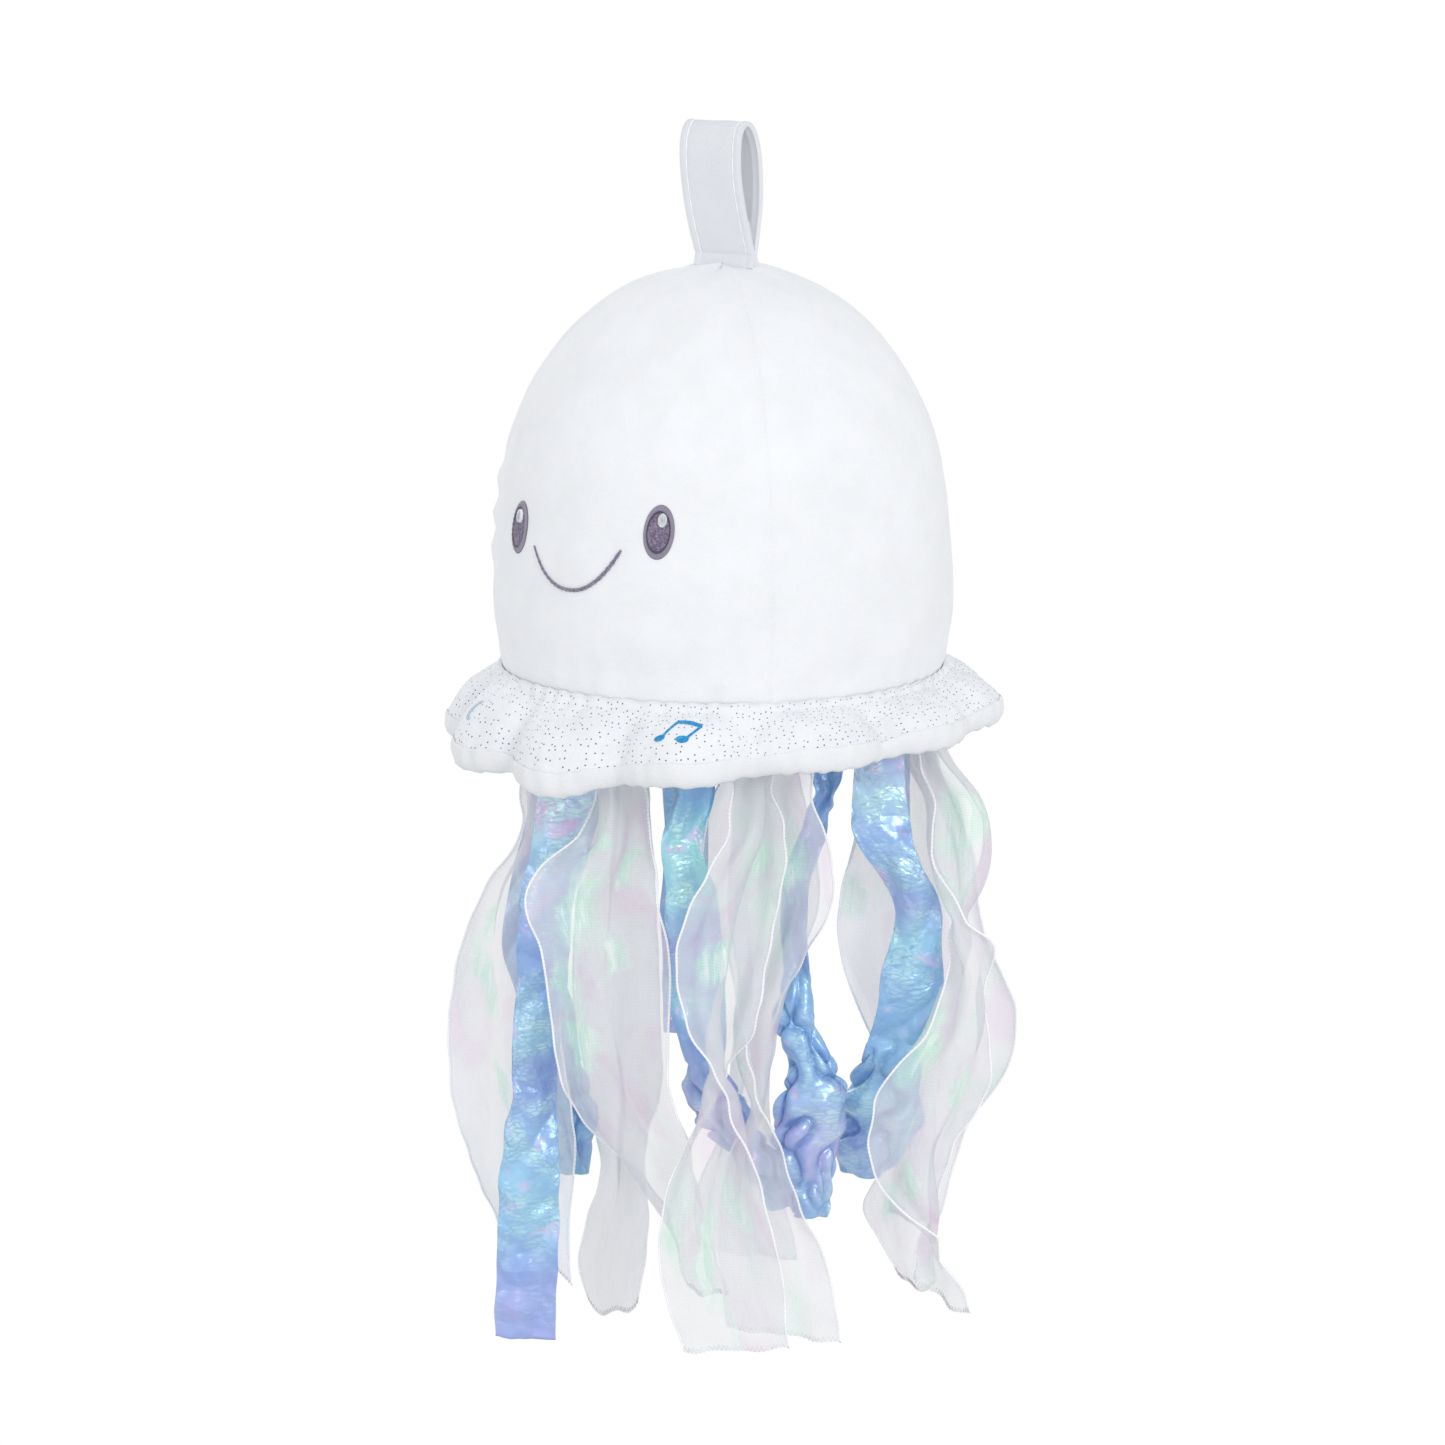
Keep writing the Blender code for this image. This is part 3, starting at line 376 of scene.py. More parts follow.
def plush_material(name, tint, pile=0.35):
    """Short-pile plush: soft clouds where the pile lies differently, over a fine nap."""
    finish = Finish(name, 0.95, Sheen_Weight=0.25, Sheen_Roughness=0.6)
    pressed = finish.cloud(finish.place(), 55, 3, 0.6)
    nap = finish.cloud(finish.place(), 1500, 2, 0.7)
    darker = tuple(c * 0.955 for c in tint)
    colour = finish.mix(finish.fade(pressed, 0.35, 0.65), darker, tint)
    soft = finish.bump(pressed, 0.002, 0.25, finish.bump(nap, 0.0006, pile))
    return finish.use(Base_Color=colour, Normal=soft)


def glitter_material():
    """Plush with small foil dots, each with a painted reflection, laid out over the collar by its UV in
    millimetres.
    """
    finish = Finish("glitter_plush_cloth", 0.9)
    pressed = finish.cloud(finish.place(), 70, 3, 0.6)
    nap = finish.cloud(finish.place(), 1500, 2, 0.7)
    plain = finish.mix(finish.fade(pressed, 0.35, 0.65), (0.87, 0.875, 0.895), (0.93, 0.935, 0.95))
    dots = finish.cells(finish.place(uv=True), 0.46, randomness=0.75)
    inside = finish.fade(dots.outputs["Distance"], 0.09, 0.13, 1.0, 0.0)
    chance = finish.add("ShaderNodeSeparateColor", {0: dots.outputs["Color"]}).outputs
    # The foil dots are real; each one's random shade, from near black to white, is a painted reflection
    dot_reflection = finish.ramp(chance[0], [(0.0, (0.02, 0.03, 0.05)), (0.42, (0.10, 0.12, 0.17)),
                                    (0.64, (0.32, 0.39, 0.50)), (0.84, (1.0, 1.0, 1.0))], "CONSTANT")
    shown = finish.times(inside, finish.ramp(chance[1], [(0.0, 1.0), (0.86, 0.0)], "CONSTANT"))
    rough = finish.fade(shown, 0.0, 1.0, 0.92, 0.25)
    return finish.use(Base_Color=finish.mix(shown, plain, dot_reflection), Roughness=rough,
                      Normal=finish.bump(nap, 0.0006, 0.35))


def band_material():
    """Woven cotton band with a fine twill."""
    finish = Finish("cotton_band_cloth", 0.85, Sheen_Weight=0.2)
    twill = finish.bands(finish.place(), 700, "DIAGONAL", 0.6, 1)
    worn = finish.cloud(finish.place(), 60, 3)
    colour = finish.mix(worn, (0.80, 0.81, 0.84), (0.88, 0.89, 0.915))
    return finish.use(Base_Color=colour, Normal=finish.bump(twill, 0.0003, 0.4))


def flecked_material(name, roughness, grain, edges, dark, light, relief, **plain):
    """Two shades in fine flecks: grain is the noise's size and detail, edges where the shades meet."""
    finish = Finish(name, roughness, **plain)
    fleck = finish.cloud(finish.place(), *grain)
    colour = finish.mix(finish.fade(fleck, *edges), dark, light)
    return finish.use(Base_Color=colour, Normal=finish.bump(fleck, *relief))


def thread_material(name, dark, light):
    """Satin stitches with a fleck of light."""
    return flecked_material(name, 0.5, (1500, 3, 0.7), (0.38, 0.62), dark, light, (0.0003, 0.6),
                            Sheen_Weight=0.3)


def print_material(name, dark, light):
    """A thin print that lies in the pile."""
    return flecked_material(name, 0.7, (700, 3, 0.7), (0.42, 0.7), dark, light, (0.0004, 0.5))


def overlock_material():
    """White overlock thread round the organza, with a slight painted glow from emission that stands in for
    the light that comes through it.
    """
    return flecked_material("overlock_thread", 0.6, (1100, 2, 0.7), (0.0, 1.0), shade("f6f6f8"),
                            shade("ffffff"), (0.0002, 0.4), Sheen_Weight=0.5, Emission_Color=(1, 1, 1, 1),
                            Emission_Strength=0.07)


def plastic_material():
    return flecked_material("unit_plastic_moulded", 0.5, (900, 2), (0.0, 1.0), (0.72, 0.72, 0.74),
                            (0.78, 0.78, 0.80), (0.0001, 0.3))


def eye_material():
    """Speckled stitches, a dark line round them and a paler stitched rim; the UV is (angle, radius)."""
    finish = Finish("eye_embroidery", 0.5, Sheen_Weight=0.2)
    fleck = finish.cloud(finish.place(), 1300, 3, 0.75)
    fill = finish.mix(finish.fade(fleck, 0.40, 0.60), shade("564b62"), shade("968aa2"))
    flat = finish.place(uv=True)
    rays = finish.bands(flat, 1.6, "X", 1.0, 1)
    rim = finish.mix(rays, shade("a095af"), shade("cdc4d9"))
    radius = finish.along(1, flat)
    line = finish.fade(radius, 0.66, 0.71)
    outer = finish.ramp(radius, [(0.76, 0.0), (0.81, 1.0), (0.95, 1.0), (1.0, 0.3)])
    colour = finish.mix(outer, finish.mix(line, fill, shade("453b50")), rim)
    ridges = finish.sums("ADD", fleck, finish.times(outer, rays))
    return finish.use(Base_Color=colour, Normal=finish.bump(ridges, 0.0004, 0.7))


def organza_material(index):
    """Sheer organza: a fine weave, with painted sheen: streaks of pearly mint with white highlights where the
    light catches it, and rose between.
    """
    finish = Finish(f"organza_cloth_{index}", 0.35, Specular_IOR_Level=0.4)
    flat = finish.place(uv=True)
    apart = Vector((index * 37.3, index * 91.7, 0))
    own = finish.move(flat, apart)
    streaks = finish.cloud(finish.move(own, scale=(0.30, 0.055, 1), turn=0.35), 1.0, 3, 0.6, 0.7)
    lines = finish.fade(streaks, 0.36, 0.55)
    weft = finish.bands(flat, 0.62, "Y", 1.2, 1)
    weave = finish.times(weft, finish.bands(flat, 0.7, "X", 0.6, 1))
    if index not in MINT_SHEEN_SPOTS:
        # Plain organza: only a faint painted sheen along the streaks
        return finish.use(Base_Color=finish.mix(lines, shade("e4e4e6"), shade("e8e8ea")),
                          Alpha=finish.fade(weave, 0.0, 1.0, 0.62, 0.74),
                          Normal=finish.bump(weave, 0.00015, 0.3))
    # Painted mint sheen: the listed streaks and faint patches, ruled by the weft
    chosen = finish.spots(finish.move(finish.stir(own, 0.09, 16), -apart), MINT_SHEEN_SPOTS[index])
    broad = finish.cloud(finish.move(own, scale=(0.05, 0.028, 1)), 1.0, 2, 0.5, 0.6)
    faint = finish.fade(broad, 0.56, 0.70, 0.0, 0.55)
    mint = finish.times(finish.sums("MAXIMUM", chosen, faint), finish.fade(lines, 0.0, 1.0, 0.45, 1.0))
    # Painted rose sheen between
    other = finish.cloud(finish.move(own, (50, 31, 0), (0.07, 0.03, 1)), 1.0, 2, 0.5, 0.8)
    rose = finish.fade(other, 0.52, 0.66, 0.0, 0.7)
    lined = finish.times(mint, finish.fade(weft, 0.0, 0.6, 0.55, 1.0))
    colour = finish.mix(lined, finish.mix(rose, shade("eeeef1"), shade("ecd2e8")), shade("c8fde0"))
    # Painted white highlights on the brightest streaks of the mint sheen
    white_highlight = finish.times(mint, finish.fade(streaks, 0.50, 0.60, 0.0, 0.85))
    colour = finish.mix(white_highlight, colour, shade("fbfffc"))
    body = finish.sums("ADD", finish.fade(weave, 0.0, 1.0, 0.50, 0.66), finish.times(lined, 0.25))
    rough = finish.fade(lined, 0.0, 1.0, 0.42, 0.25)
    creases = finish.bump(streaks, 0.0018, 0.3)
    return finish.use(Base_Color=colour, Alpha=body, Roughness=rough,
                      Normal=finish.bump(weave, 0.00015, 0.3, creases))


def foil_material(index):
    """Satin foil cloth: its colour changes along it, with painted glints in crackled patches of pale mint,
    painted rose sheen, and painted shade in the hollows of its ruched end.
    """
    finish = Finish(f"foil_cloth_{index}", 0.27, Metallic=0.25, Coat_Weight=0.5, Coat_Roughness=0.1)
    flat = finish.place(uv=True)
    own = finish.move(flat, (index * 53.1, index * 71.9, 0))

    def patches(size, seed, distortion, *edges):
        """Soft patches, another set for each seed."""
        moved = finish.move(own, (seed, seed * 2.3, 0), (*size, 1))
        return finish.fade(finish.cloud(moved, 1.0, 3, 0.55, distortion), *edges)

    def crumple(across, along, push):
        """How far it is to the nearest fold of crumpled film."""
        moved = finish.move(own, scale=(across, along, 1))
        return finish.cells(finish.stir(moved, 1.3, push), 1.0, "DISTANCE_TO_EDGE").outputs["Distance"]

    tints = FOIL_TINTS[index]
    first, last = tints[0][0], tints[-1][0]
    drop = finish.along(1, finish.stir(flat, 0.06, 14))
    share = finish.sums("DIVIDE", finish.sums("SUBTRACT", drop, first), last - first)
    places = [(stop[0] - first) / (last - first) for stop in tints]
    base = finish.ramp(share, [(place, shade(stop[1])) for place, stop in zip(places, tints)])
    amount = finish.ramp(share, [(place, stop[2]) for place, stop in zip(places, tints)])
    base = finish.mix(0.24, base, shade("e4f0fa"))
    base = finish.mix(patches((0.07, 0.03), 5, 0.5, 0.42, 0.66, 0.0, 0.35), base, shade("7ea6ea"))
    # Painted glints: patches of pale mint crackle, as strong as the tints' share of glints, brighter or
    # fainter cell by cell
    glint_patch = finish.times(patches((0.10, 0.06), 23, 0.8, 0.43, 0.60), amount)
    facets = finish.cells(finish.stir(finish.move(own, scale=(0.55, 1, 1)), 0.25, 2.5), 0.42)
    tone = finish.add("ShaderNodeSeparateColor", {0: facets.outputs["Color"]}).outputs[0]
    lit = finish.times(glint_patch, finish.fade(tone, 0.2, 0.7, 0.4, 1.0))
    lit = finish.times(lit, finish.fade(crumple(0.34, 0.6, 0.6), 0.02, 0.2, 0.25, 1.0))
    colour = finish.mix(finish.times(lit, 0.92), base, shade("d4fbf8"))
    # Painted rose sheen in patches, as strong as the same share of glints
    rose_glint = finish.times(patches((0.10, 0.08), 37, 0.7, 0.58, 0.68, 0.0, 0.7), amount)
    colour = finish.mix(rose_glint, colour, shade("eec8f4"))
    # Painted shade: a deeper blue in the hollows between the folds of the ruched end
    folds = finish.add("ShaderNodeAttribute", attribute_name="folds").outputs["Vector"]
    valley_shade, gathered = finish.along(0, folds), finish.along(1, folds)
    colour = finish.mix(finish.times(valley_shade, 0.6), colour, shade("5a8fd2"))

    large = finish.bump(crumple(0.05, 0.07, 0.5), 0.006, 0.32)
    small = finish.times(crumple(0.28, 0.42, 0.5), finish.sums("ADD", glint_patch, 0.06))
    small = finish.times(small, finish.sums("SUBTRACT", 1.0, finish.times(gathered, 0.8)))
    return finish.use(Base_Color=colour, Normal=finish.bump(small, 0.0016, 0.5, large))


# Mesh helpers

def put(name, mesh, material):
    """A finished mesh with one material as a smooth piece that rides on the body."""
    mesh.materials.clear()
    mesh.materials.append(material)
    mesh.shade_smooth()
    piece = bpy.data.objects.new(name, mesh)
    bpy.context.collection.objects.link(piece)
    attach(piece, "root")
    return piece


def finish_piece(name, bm, material, outward=True):
    """Turn a bmesh in the real thing's own heights into a piece."""
    for vert in bm.verts:
        vert.co = hang(vert.co)
    if outward:
        bmesh.ops.recalc_face_normals(bm, faces=bm.faces)
    mesh = bpy.data.meshes.new(name)
    bm.to_mesh(mesh)
    bm.free()
    return put(name, mesh, material)


def thicken(piece, thickness):
    wall = piece.modifiers.new("cloth", "SOLIDIFY")
    wall.thickness = thickness
    wall.offset = 0


def evaluated(piece):
    return piece.evaluated_get(bpy.context.evaluated_depsgraph_get())


def turned(profile, steps, closed=False):
    """Spin an open or closed profile of (radius, height) round the upright axis, its doubles merged."""
    bm = bmesh.new()
    line = [bm.verts.new((radius, 0, height)) for radius, height in profile]
    edges = [bm.edges.new(pair) for pair in zip(line, line[1:] + (line[:1] if closed else []))]
    bmesh.ops.spin(bm, geom=line + edges, cent=(0, 0, 0), axis=(0, 0, 1), angle=tau, steps=steps,
                   use_merge=True)
    bmesh.ops.remove_doubles(bm, verts=bm.verts, dist=MERGE)
    return bm


def azimuth_of(co):
    return atan2(co.x, -co.y)


def tube_mesh(name, points, radii, material):
    """A thread along points, as thick at each as its radius says, made a mesh."""
    curve = bpy.data.curves.new(name, "CURVE")
    curve.dimensions = "3D"
    curve.bevel_depth = 1.0
    curve.bevel_resolution = 1
    curve.use_fill_caps = True
    spline = curve.splines.new("POLY")
    spline.points.add(len(points) - 1)
    for spot, point, radius in zip(spline.points, points, radii):
        spot.co = (*point, 1.0)
        spot.radius = radius
    holder = bpy.data.objects.new(name, curve)
    bpy.context.collection.objects.link(holder)
    mesh = bpy.data.meshes.new_from_object(evaluated(holder))
    bpy.data.objects.remove(holder, do_unlink=True)
    mesh.name = name
    return put(name, mesh, material)


def surface_of(piece):
    """What a ray meets on a finished piece."""
    mesh = piece.data
    return BVHTree.FromPolygons([v.co for v in mesh.vertices], [p.vertices for p in mesh.polygons])


# Head

def head_radius(height):
    if height < WIDEST_HEIGHT:
        rest = 1 - height / WIDEST_HEIGHT
        return HEAD_RADIUS - (HEAD_RADIUS - SEAM_RADIUS) * rest**2
    rise = min(1.0, (height - WIDEST_HEIGHT) / (HEAD_HEIGHT - WIDEST_HEIGHT))
    return HEAD_RADIUS * sqrt(1 - rise**SHOULDER)


def head_profile(share):
    if share < LOWER_SHARE:
        rest = 1 - share / LOWER_SHARE
        return HEAD_RADIUS - (HEAD_RADIUS - SEAM_RADIUS) * rest**2, WIDEST_HEIGHT * (1 - rest)
    angle = (share - LOWER_SHARE) / (1 - LOWER_SHARE) * pi / 2
    rise = sin(angle) ** (2 / SHOULDER)
    return HEAD_RADIUS * cos(angle), WIDEST_HEIGHT + (HEAD_HEIGHT - WIDEST_HEIGHT) * rise


def seam_distance(azimuth, radius):
    """Distance along the cloth to the nearest seam, and which seam it is."""
    best = (1.0, 0)
    for index, seam in enumerate(SEAM_ANGLES):
        away = (azimuth - seam + pi) % tau - pi
        best = min(best, (abs(away) * radius, index))
    return best


def swell(piece, pinned, cap, frames=20):
    """Blow the cloth up from inside with its seams held, as stuffing does, and keep the moved mesh."""
    group = piece.vertex_groups.new(name="seams")
    for index, hold in enumerate(pinned):
        if hold > 0:
            group.add([index], hold, "REPLACE")
    cloth = piece.modifiers.new("stuffing", "CLOTH")
    cloth.settings.use_pressure = True
    cloth.settings.uniform_pressure_force = 4
    cloth.settings.vertex_group_mass = "seams"
    cloth.settings.effector_weights.gravity = 0
    cloth.settings.quality = 4
    cloth.point_cache.frame_start, cloth.point_cache.frame_end = 1, frames
    scene = bpy.context.scene
    for step in range(1, frames + 1):
        scene.frame_set(step)
    moved = evaluated(piece).to_mesh()
    for vert, after in zip(piece.data.vertices, [v.co.copy() for v in moved.vertices]):
        travel = after - vert.co
        if travel.length > cap:
            travel *= cap / travel.length
        vert.co = vert.co + travel
    piece.modifiers.remove(cloth)
    piece.vertex_groups.clear()
    scene.frame_set(1)


def make_head(plush):
    """The stuffed head: panels that bulge between their seams, puckered seams and pulls at the crown."""
    over_base = SEAM_RADIUS - BASE_INSET
    underside = BASE_THICKNESS + GAP
    profile = [(0, underside), (over_base / 2, underside), (over_base, underside), (over_base, GAP)]
    profile += [head_profile(i / 58) for i in range(58)] + [(0, HEAD_HEIGHT)]
    bm = turned(profile, HEAD_COLUMNS)
    bm.verts.ensure_lookup_table()
    pinned = []
    for vert in bm.verts:
        azimuth, radius = azimuth_of(vert.co), hypot(vert.co.x, vert.co.y)
        away, _ = seam_distance(azimuth, max(radius, 1e-5))
        held = bell(away, 4 * MM) if radius > 3 * MM else 1.0
        if vert.co.z < underside + GAP or vert.co.z > HEAD_HEIGHT - 3 * MM:
            held = 1.0
        pinned.append(held)
        shrink = 1 - 1.6 * MM / HEAD_RADIUS * smooth_step(2 * MM, 14 * MM, vert.co.z)
        vert.co = Vector((vert.co.x * shrink, vert.co.y * shrink, vert.co.z))
    piece = finish_piece("plush_head", bm, plush)
    swell(piece, pinned, 2.6 * MM)
    finer = piece.modifiers.new("finer", "SUBSURF")
    finer.levels = finer.render_levels = 1
    smooth = bpy.data.meshes.new_from_object(evaluated(piece))
    piece.modifiers.remove(finer)
    piece.data = smooth
    outward = [vert.normal.copy() for vert in smooth.vertices]
    for vert, out in zip(smooth.vertices, outward):
        co = vert.co
        x, y, height = co.x, co.y - LOOP_LEAN / 2, co.z + HANG_HEIGHT
        radius = hypot(x, y)
        if height < underside + GAP or radius < 1 * MM:
            continue
        azimuth = atan2(x, -y)
        away, seam = seam_distance(azimuth, radius)
        side = 1.5 if seam == 0 else 0.3
        groove = 0.55 * MM * bell(away, 1 * MM) + 0.7 * MM * bell(away, 5 * MM)
        wave = cos(tau * height / (13.5 * MM) + seam * 1.7 + 1.4 * ripple(height / 0.03, seam))
        pucker = 0.9 * MM * side * wave * bell(away, 7 * MM)
        pucker *= smooth_step(28 * MM, 42 * MM, height) * (1 - smooth_step(68 * MM, 84 * MM, height))
        lumps = 0.7 * MM * ripple(x / 0.036, y / 0.036, height / 0.036)
        lumps += 0.22 * MM * ripple(x / 0.013, y / 0.013, height / 0.013)
        lumps *= smooth_step(1 * MM, 8 * MM, height)
        pulls = 0.9 * MM * bell(radius, 24 * MM) * cos(7 * azimuth + 2.5 * ripple(azimuth, 3.0))
        hem = 0.5 * MM * cos(azimuth * 46 + 3 * ripple(azimuth * 3, 9))
        hem *= smooth_step(2.5 * MM, 5 * MM, height) * exp(-height / (7 * MM))
        pile = 0.07 * MM * ripple(x / 0.0022, y / 0.0022, height / 0.0022)
        vert.co = co + out * (pucker + lumps + pulls + hem + pile - groove)
    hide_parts("head_panel_front", "head_panel_right", "head_panel_back", "head_panel_left",
                "stuffing")
    return piece


# Face

def on_cloth(surface, azimuth, height, lift):
    """A point over the head's real surface, found square on from outside."""
    aim = hang(Vector((0, 0, height)))
    out = round_point(1.0, azimuth, 0.0)
    hit, normal, _, _ = surface.ray_cast(aim + out * 0.2, -out)
    if normal.dot(out) < 0:
        normal = -normal
    return hit + normal * lift


def stitched_oval(name, surface, middle, side, height, size, thick, lean, material, node):
    """An embroidered oval: a domed pad of thread with a raised rim, laid on the plush."""
    bm = bmesh.new()
    bmesh.ops.create_uvsphere(bm, u_segments=72, v_segments=36, radius=1.0)
    uv = bm.loops.layers.uv.new("stitches")
    for face in bm.faces:
        angles = [atan2(loop.vert.co.y, loop.vert.co.x) for loop in face.loops]
        for loop, angle in zip(face.loops, angles):
            share = hypot(loop.vert.co.x, loop.vert.co.y)
            if share < 1e-4:
                angle = sum(angles) / len(angles)
            if angle - angles[0] > pi:
                angle -= tau
            if angle - angles[0] < -pi:
                angle += tau
            loop[uv].uv = (angle / tau * 60, share)
    for vert in bm.verts:
        share = hypot(vert.co.x, vert.co.y)
        angle = atan2(vert.co.y, vert.co.x)
        edge = smooth_step(0.74, 0.80, share)
        rim = 0.35 * edge * (1 + 0.5 * sin(angle * 46))
        fill = 0.16 * sin(angle * 5 + share * 34) * (1 - edge)
        top = thick * (0.75 + rim + fill) * (1 - share**10)
        rise = top if vert.co.z > 0 else -0.3 * MM
        across = size[0] / 2 * vert.co.x + lean * vert.co.y * size[1] / 2
        up = size[1] / 2 * vert.co.y
        azimuth = middle + (side + across) / head_radius(height)
        vert.co = unhang(on_cloth(surface, azimuth, height + up, rise + 0.15 * MM))
    piece = finish_piece(name, bm, material)
    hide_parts(node)


def make_face(head, eye, dark, white):
    """Both stitched eyes with their glints, and the smile, laid on the head's real surface."""
    surface = surface_of(head)
    for word, sign in (("left", -1), ("right", 1)):
        height = EYE_HEIGHT + sign * EYE_TILT
        stitched_oval(f"stitched_eye_{word}", surface, sign * EYE_ANGLE, 0, height, (EYE_WIDTH, EYE_TALL),
                      0.8 * MM, 0.07, eye, f"eye_{word}")
        stitched_oval(f"stitched_glint_{word}", surface, sign * EYE_ANGLE, 1.3 * MM, height + 3.9 * MM,
                      (GLINT_WIDTH, GLINT_TALL), 1.7 * MM, 0.05, white, f"glint_{word}")
    points, radii = [], []
    for i in range(161):
        share = 2 * i / 160 - 1
        azimuth = share * SMILE_ANGLE + SMILE_MIDDLE
        height = SMILE_HEIGHT + SMILE_RISE * abs(share) ** 2.2 + SMILE_TILT * share
        points.append(on_cloth(surface, azimuth, height, 0.25 * MM))
        taper = 1 - 0.35 * abs(share) ** 6
        radii.append((0.62 + 0.16 * share) * MM * taper * (1 + 0.16 * sin(i * 0.9)))
    smile = tube_mesh("stitched_smile", points, radii, dark)
    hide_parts("smile")


# Hanging loop

def loop_line(steps):
    """The middle line of the band across Y and Z over the crown, from leg to leg."""
    inner_height = LOOP_HEIGHT - BAND - LOOP_ROOT
    widest = LOOP_TAPER / (1 + LOOP_TAPER)
    half = (LOOP_DEPTH / 2 - BAND) / (sqrt(1 - widest**2) * ((1 + widest) / 2) ** LOOP_TAPER)
    line = []
    for i in range(steps + 1):
        angle = -pi / 2 + tau * (0.012 + 0.976 * i / steps)
        rise = (sin(angle) + 1) / 2
        y = LOOP_LEAN * (0.5 - rise) + cos(angle) * (half * rise**LOOP_TAPER + BAND / 2)
        z = LOOP_ROOT + inner_height * rise + BAND / 2 * sin(angle)
        if z < LOOP_ROOT + 1 * MM:
            z = min(z, LOOP_ROOT)
        line.append(Vector((0, y, HEAD_HEIGHT + GAP + z)))
    low = HEAD_HEIGHT - 1.5 * MM
    line.insert(0, Vector((0, LOOP_LEAN / 2 + BAND * 0.52, low)))
    line.append(Vector((0, LOOP_LEAN / 2 - BAND * 0.52, low)))
    return line


def make_loop(cloth, thread):
    """The band bent into a loop, with folded edges and a row of stitches along each."""
    line = loop_line(110)
    bm = bmesh.new()
    bmesh.ops.create_grid(bm, x_segments=28, y_segments=len(line) - 1, size=0.5, calc_uvs=True)

    def band_point(across, index, lift):
        before, after = line[max(0, index - 1)], line[min(len(line) - 1, index + 1)]
        run = (after - before).normalized()
        out = Vector((0, run.z, -run.y))
        wave = 0.25 * MM * ripple(across * 3, index * 0.09)
        return line[index] + out * (lift + wave) + Vector((across * LOOP_WIDTH, 0, 0))

    for vert in bm.verts:
        across = vert.co.x
        index = min(len(line) - 1, max(0, round((vert.co.y + 0.5) * (len(line) - 1))))
        edge = 0.5 - abs(across)
        groove = -0.32 * MM * bell(edge - 0.105, 0.028)
        puff = 0.22 * MM * smooth_step(0.0, 0.05, edge) * (1 - smooth_step(0.07, 0.1, edge))
        vert.co = band_point(across, index, groove + puff)
    piece = finish_piece("cotton_loop", bm, cloth, outward=False)
    thicken(piece, BAND * 0.72)
    soft = piece.modifiers.new("soft edge", "BEVEL")
    soft.width = 0.55 * MM
    soft.segments = 2
    soft.limit_method = "ANGLE"
    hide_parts("hanging_loop")

    for word, across in (("left", -0.395), ("right", 0.395)):
        for face, lift in (("outer", BAND * 0.36 - 0.1 * MM), ("inner", -BAND * 0.36 + 0.1 * MM)):
            points, radii = [], []
            for index in range(3, len(line) - 3):
                for part in (0.0, 0.5):
                    low = band_point(across, index, lift)
                    high = band_point(across, index + 1, lift)
                    points.append(hang(low.lerp(high, part)))
                    radii.append((0.12 + 0.12 * abs(sin(index * 0.55 + part * 0.275))) * MM)
            stitches = tube_mesh(f"loop_stitches_{word}_{face}", points, radii, thread)
    tab = bmesh.new()
    bmesh.ops.create_grid(tab, x_segments=12, y_segments=14, size=0.5)
    for vert in tab.verts:
        across, up = vert.co.x, vert.co.y + 0.5
        bend = 0.9 * MM * sin(pi * up) + 0.5 * MM * ripple(across * 3, up * 2)
        y = LOOP_LEAN / 2 + 0.4 * MM + bend - 1.8 * MM * up
        vert.co = Vector((across * LOOP_WIDTH * 0.86, y, HEAD_HEIGHT + GAP + 3 * MM + 11 * MM * up))
    flap = finish_piece("loop_inner_tab", tab, cloth, outward=False)
    thicken(flap, 0.9 * MM)


# Collar

def scallop_share(azimuth):
    wave = abs(cos(SCALLOPS * azimuth / 2))
    return sqrt((wave * wave + 0.02) / 1.02)


def scallop_droop(azimuth):
    place = (azimuth / tau * SCALLOPS) % SCALLOPS
    index = int(place)
    blend = smooth_step(0, 1, place - index)
    return SCALLOP_DROOPS[index] * (1 - blend) + SCALLOP_DROOPS[(index + 1) % SCALLOPS] * blend


def collar_point(azimuth, share, depth=0.0):
    """A point of the collar's cloth: scallops that puff up, creases between them and gathers at the seam.

    A share below zero is the lip that stands against the head, and its depth is then the way down."""
    gather = sin(azimuth * 61 + 4 * ripple(azimuth * 4, 1.3))
    if share < 0:
        rise = -depth + 0.25 * MM * gather
        return round_point(head_radius(max(0.0, rise)) + LIP_GAP - share * COLLAR_REACH, azimuth, rise)
    scallop = scallop_share(azimuth)
    droop = scallop_droop(azimuth)
    reach = COLLAR_REACH - COLLAR_CREASE * (1 - scallop) * share
    start = SEAM_RADIUS + 2 * GAP
    slope = atan2(droop, COLLAR_REACH)
    puff = COLLAR_PUFF * sin(pi * min(1.0, share * 0.86)) * (0.35 + 0.65 * scallop)
    fold = (1 - scallop) ** 2 * smooth_step(0.02, 0.4, share) * (1 - 0.4 * smooth_step(0.75, 1.0, share))
    lumps = 0.9 * MM * ripple(azimuth * 9, share * 1.6, 2.0) * smooth_step(0.05, 0.4, share)
    dimple = 0.45 * MM * ripple(azimuth * 34, share * 4, 7.0) * smooth_step(0.1, 0.5, share)
    hem = 0.5 * MM * sin(azimuth * 78 + 5 * ripple(azimuth * 5, 4.0)) * smooth_step(0.75, 1.0, share)
    lift = puff + 0.6 * MM * gather * exp(-share * 4.5) + lumps + dimple + hem - COLLAR_FOLD * fold - depth
    radius = start + reach * share + lift * sin(slope)
    fall = droop * share**1.15 * (0.8 + 0.2 * scallop)
    return round_point(radius, azimuth, lift * cos(slope) - fall)


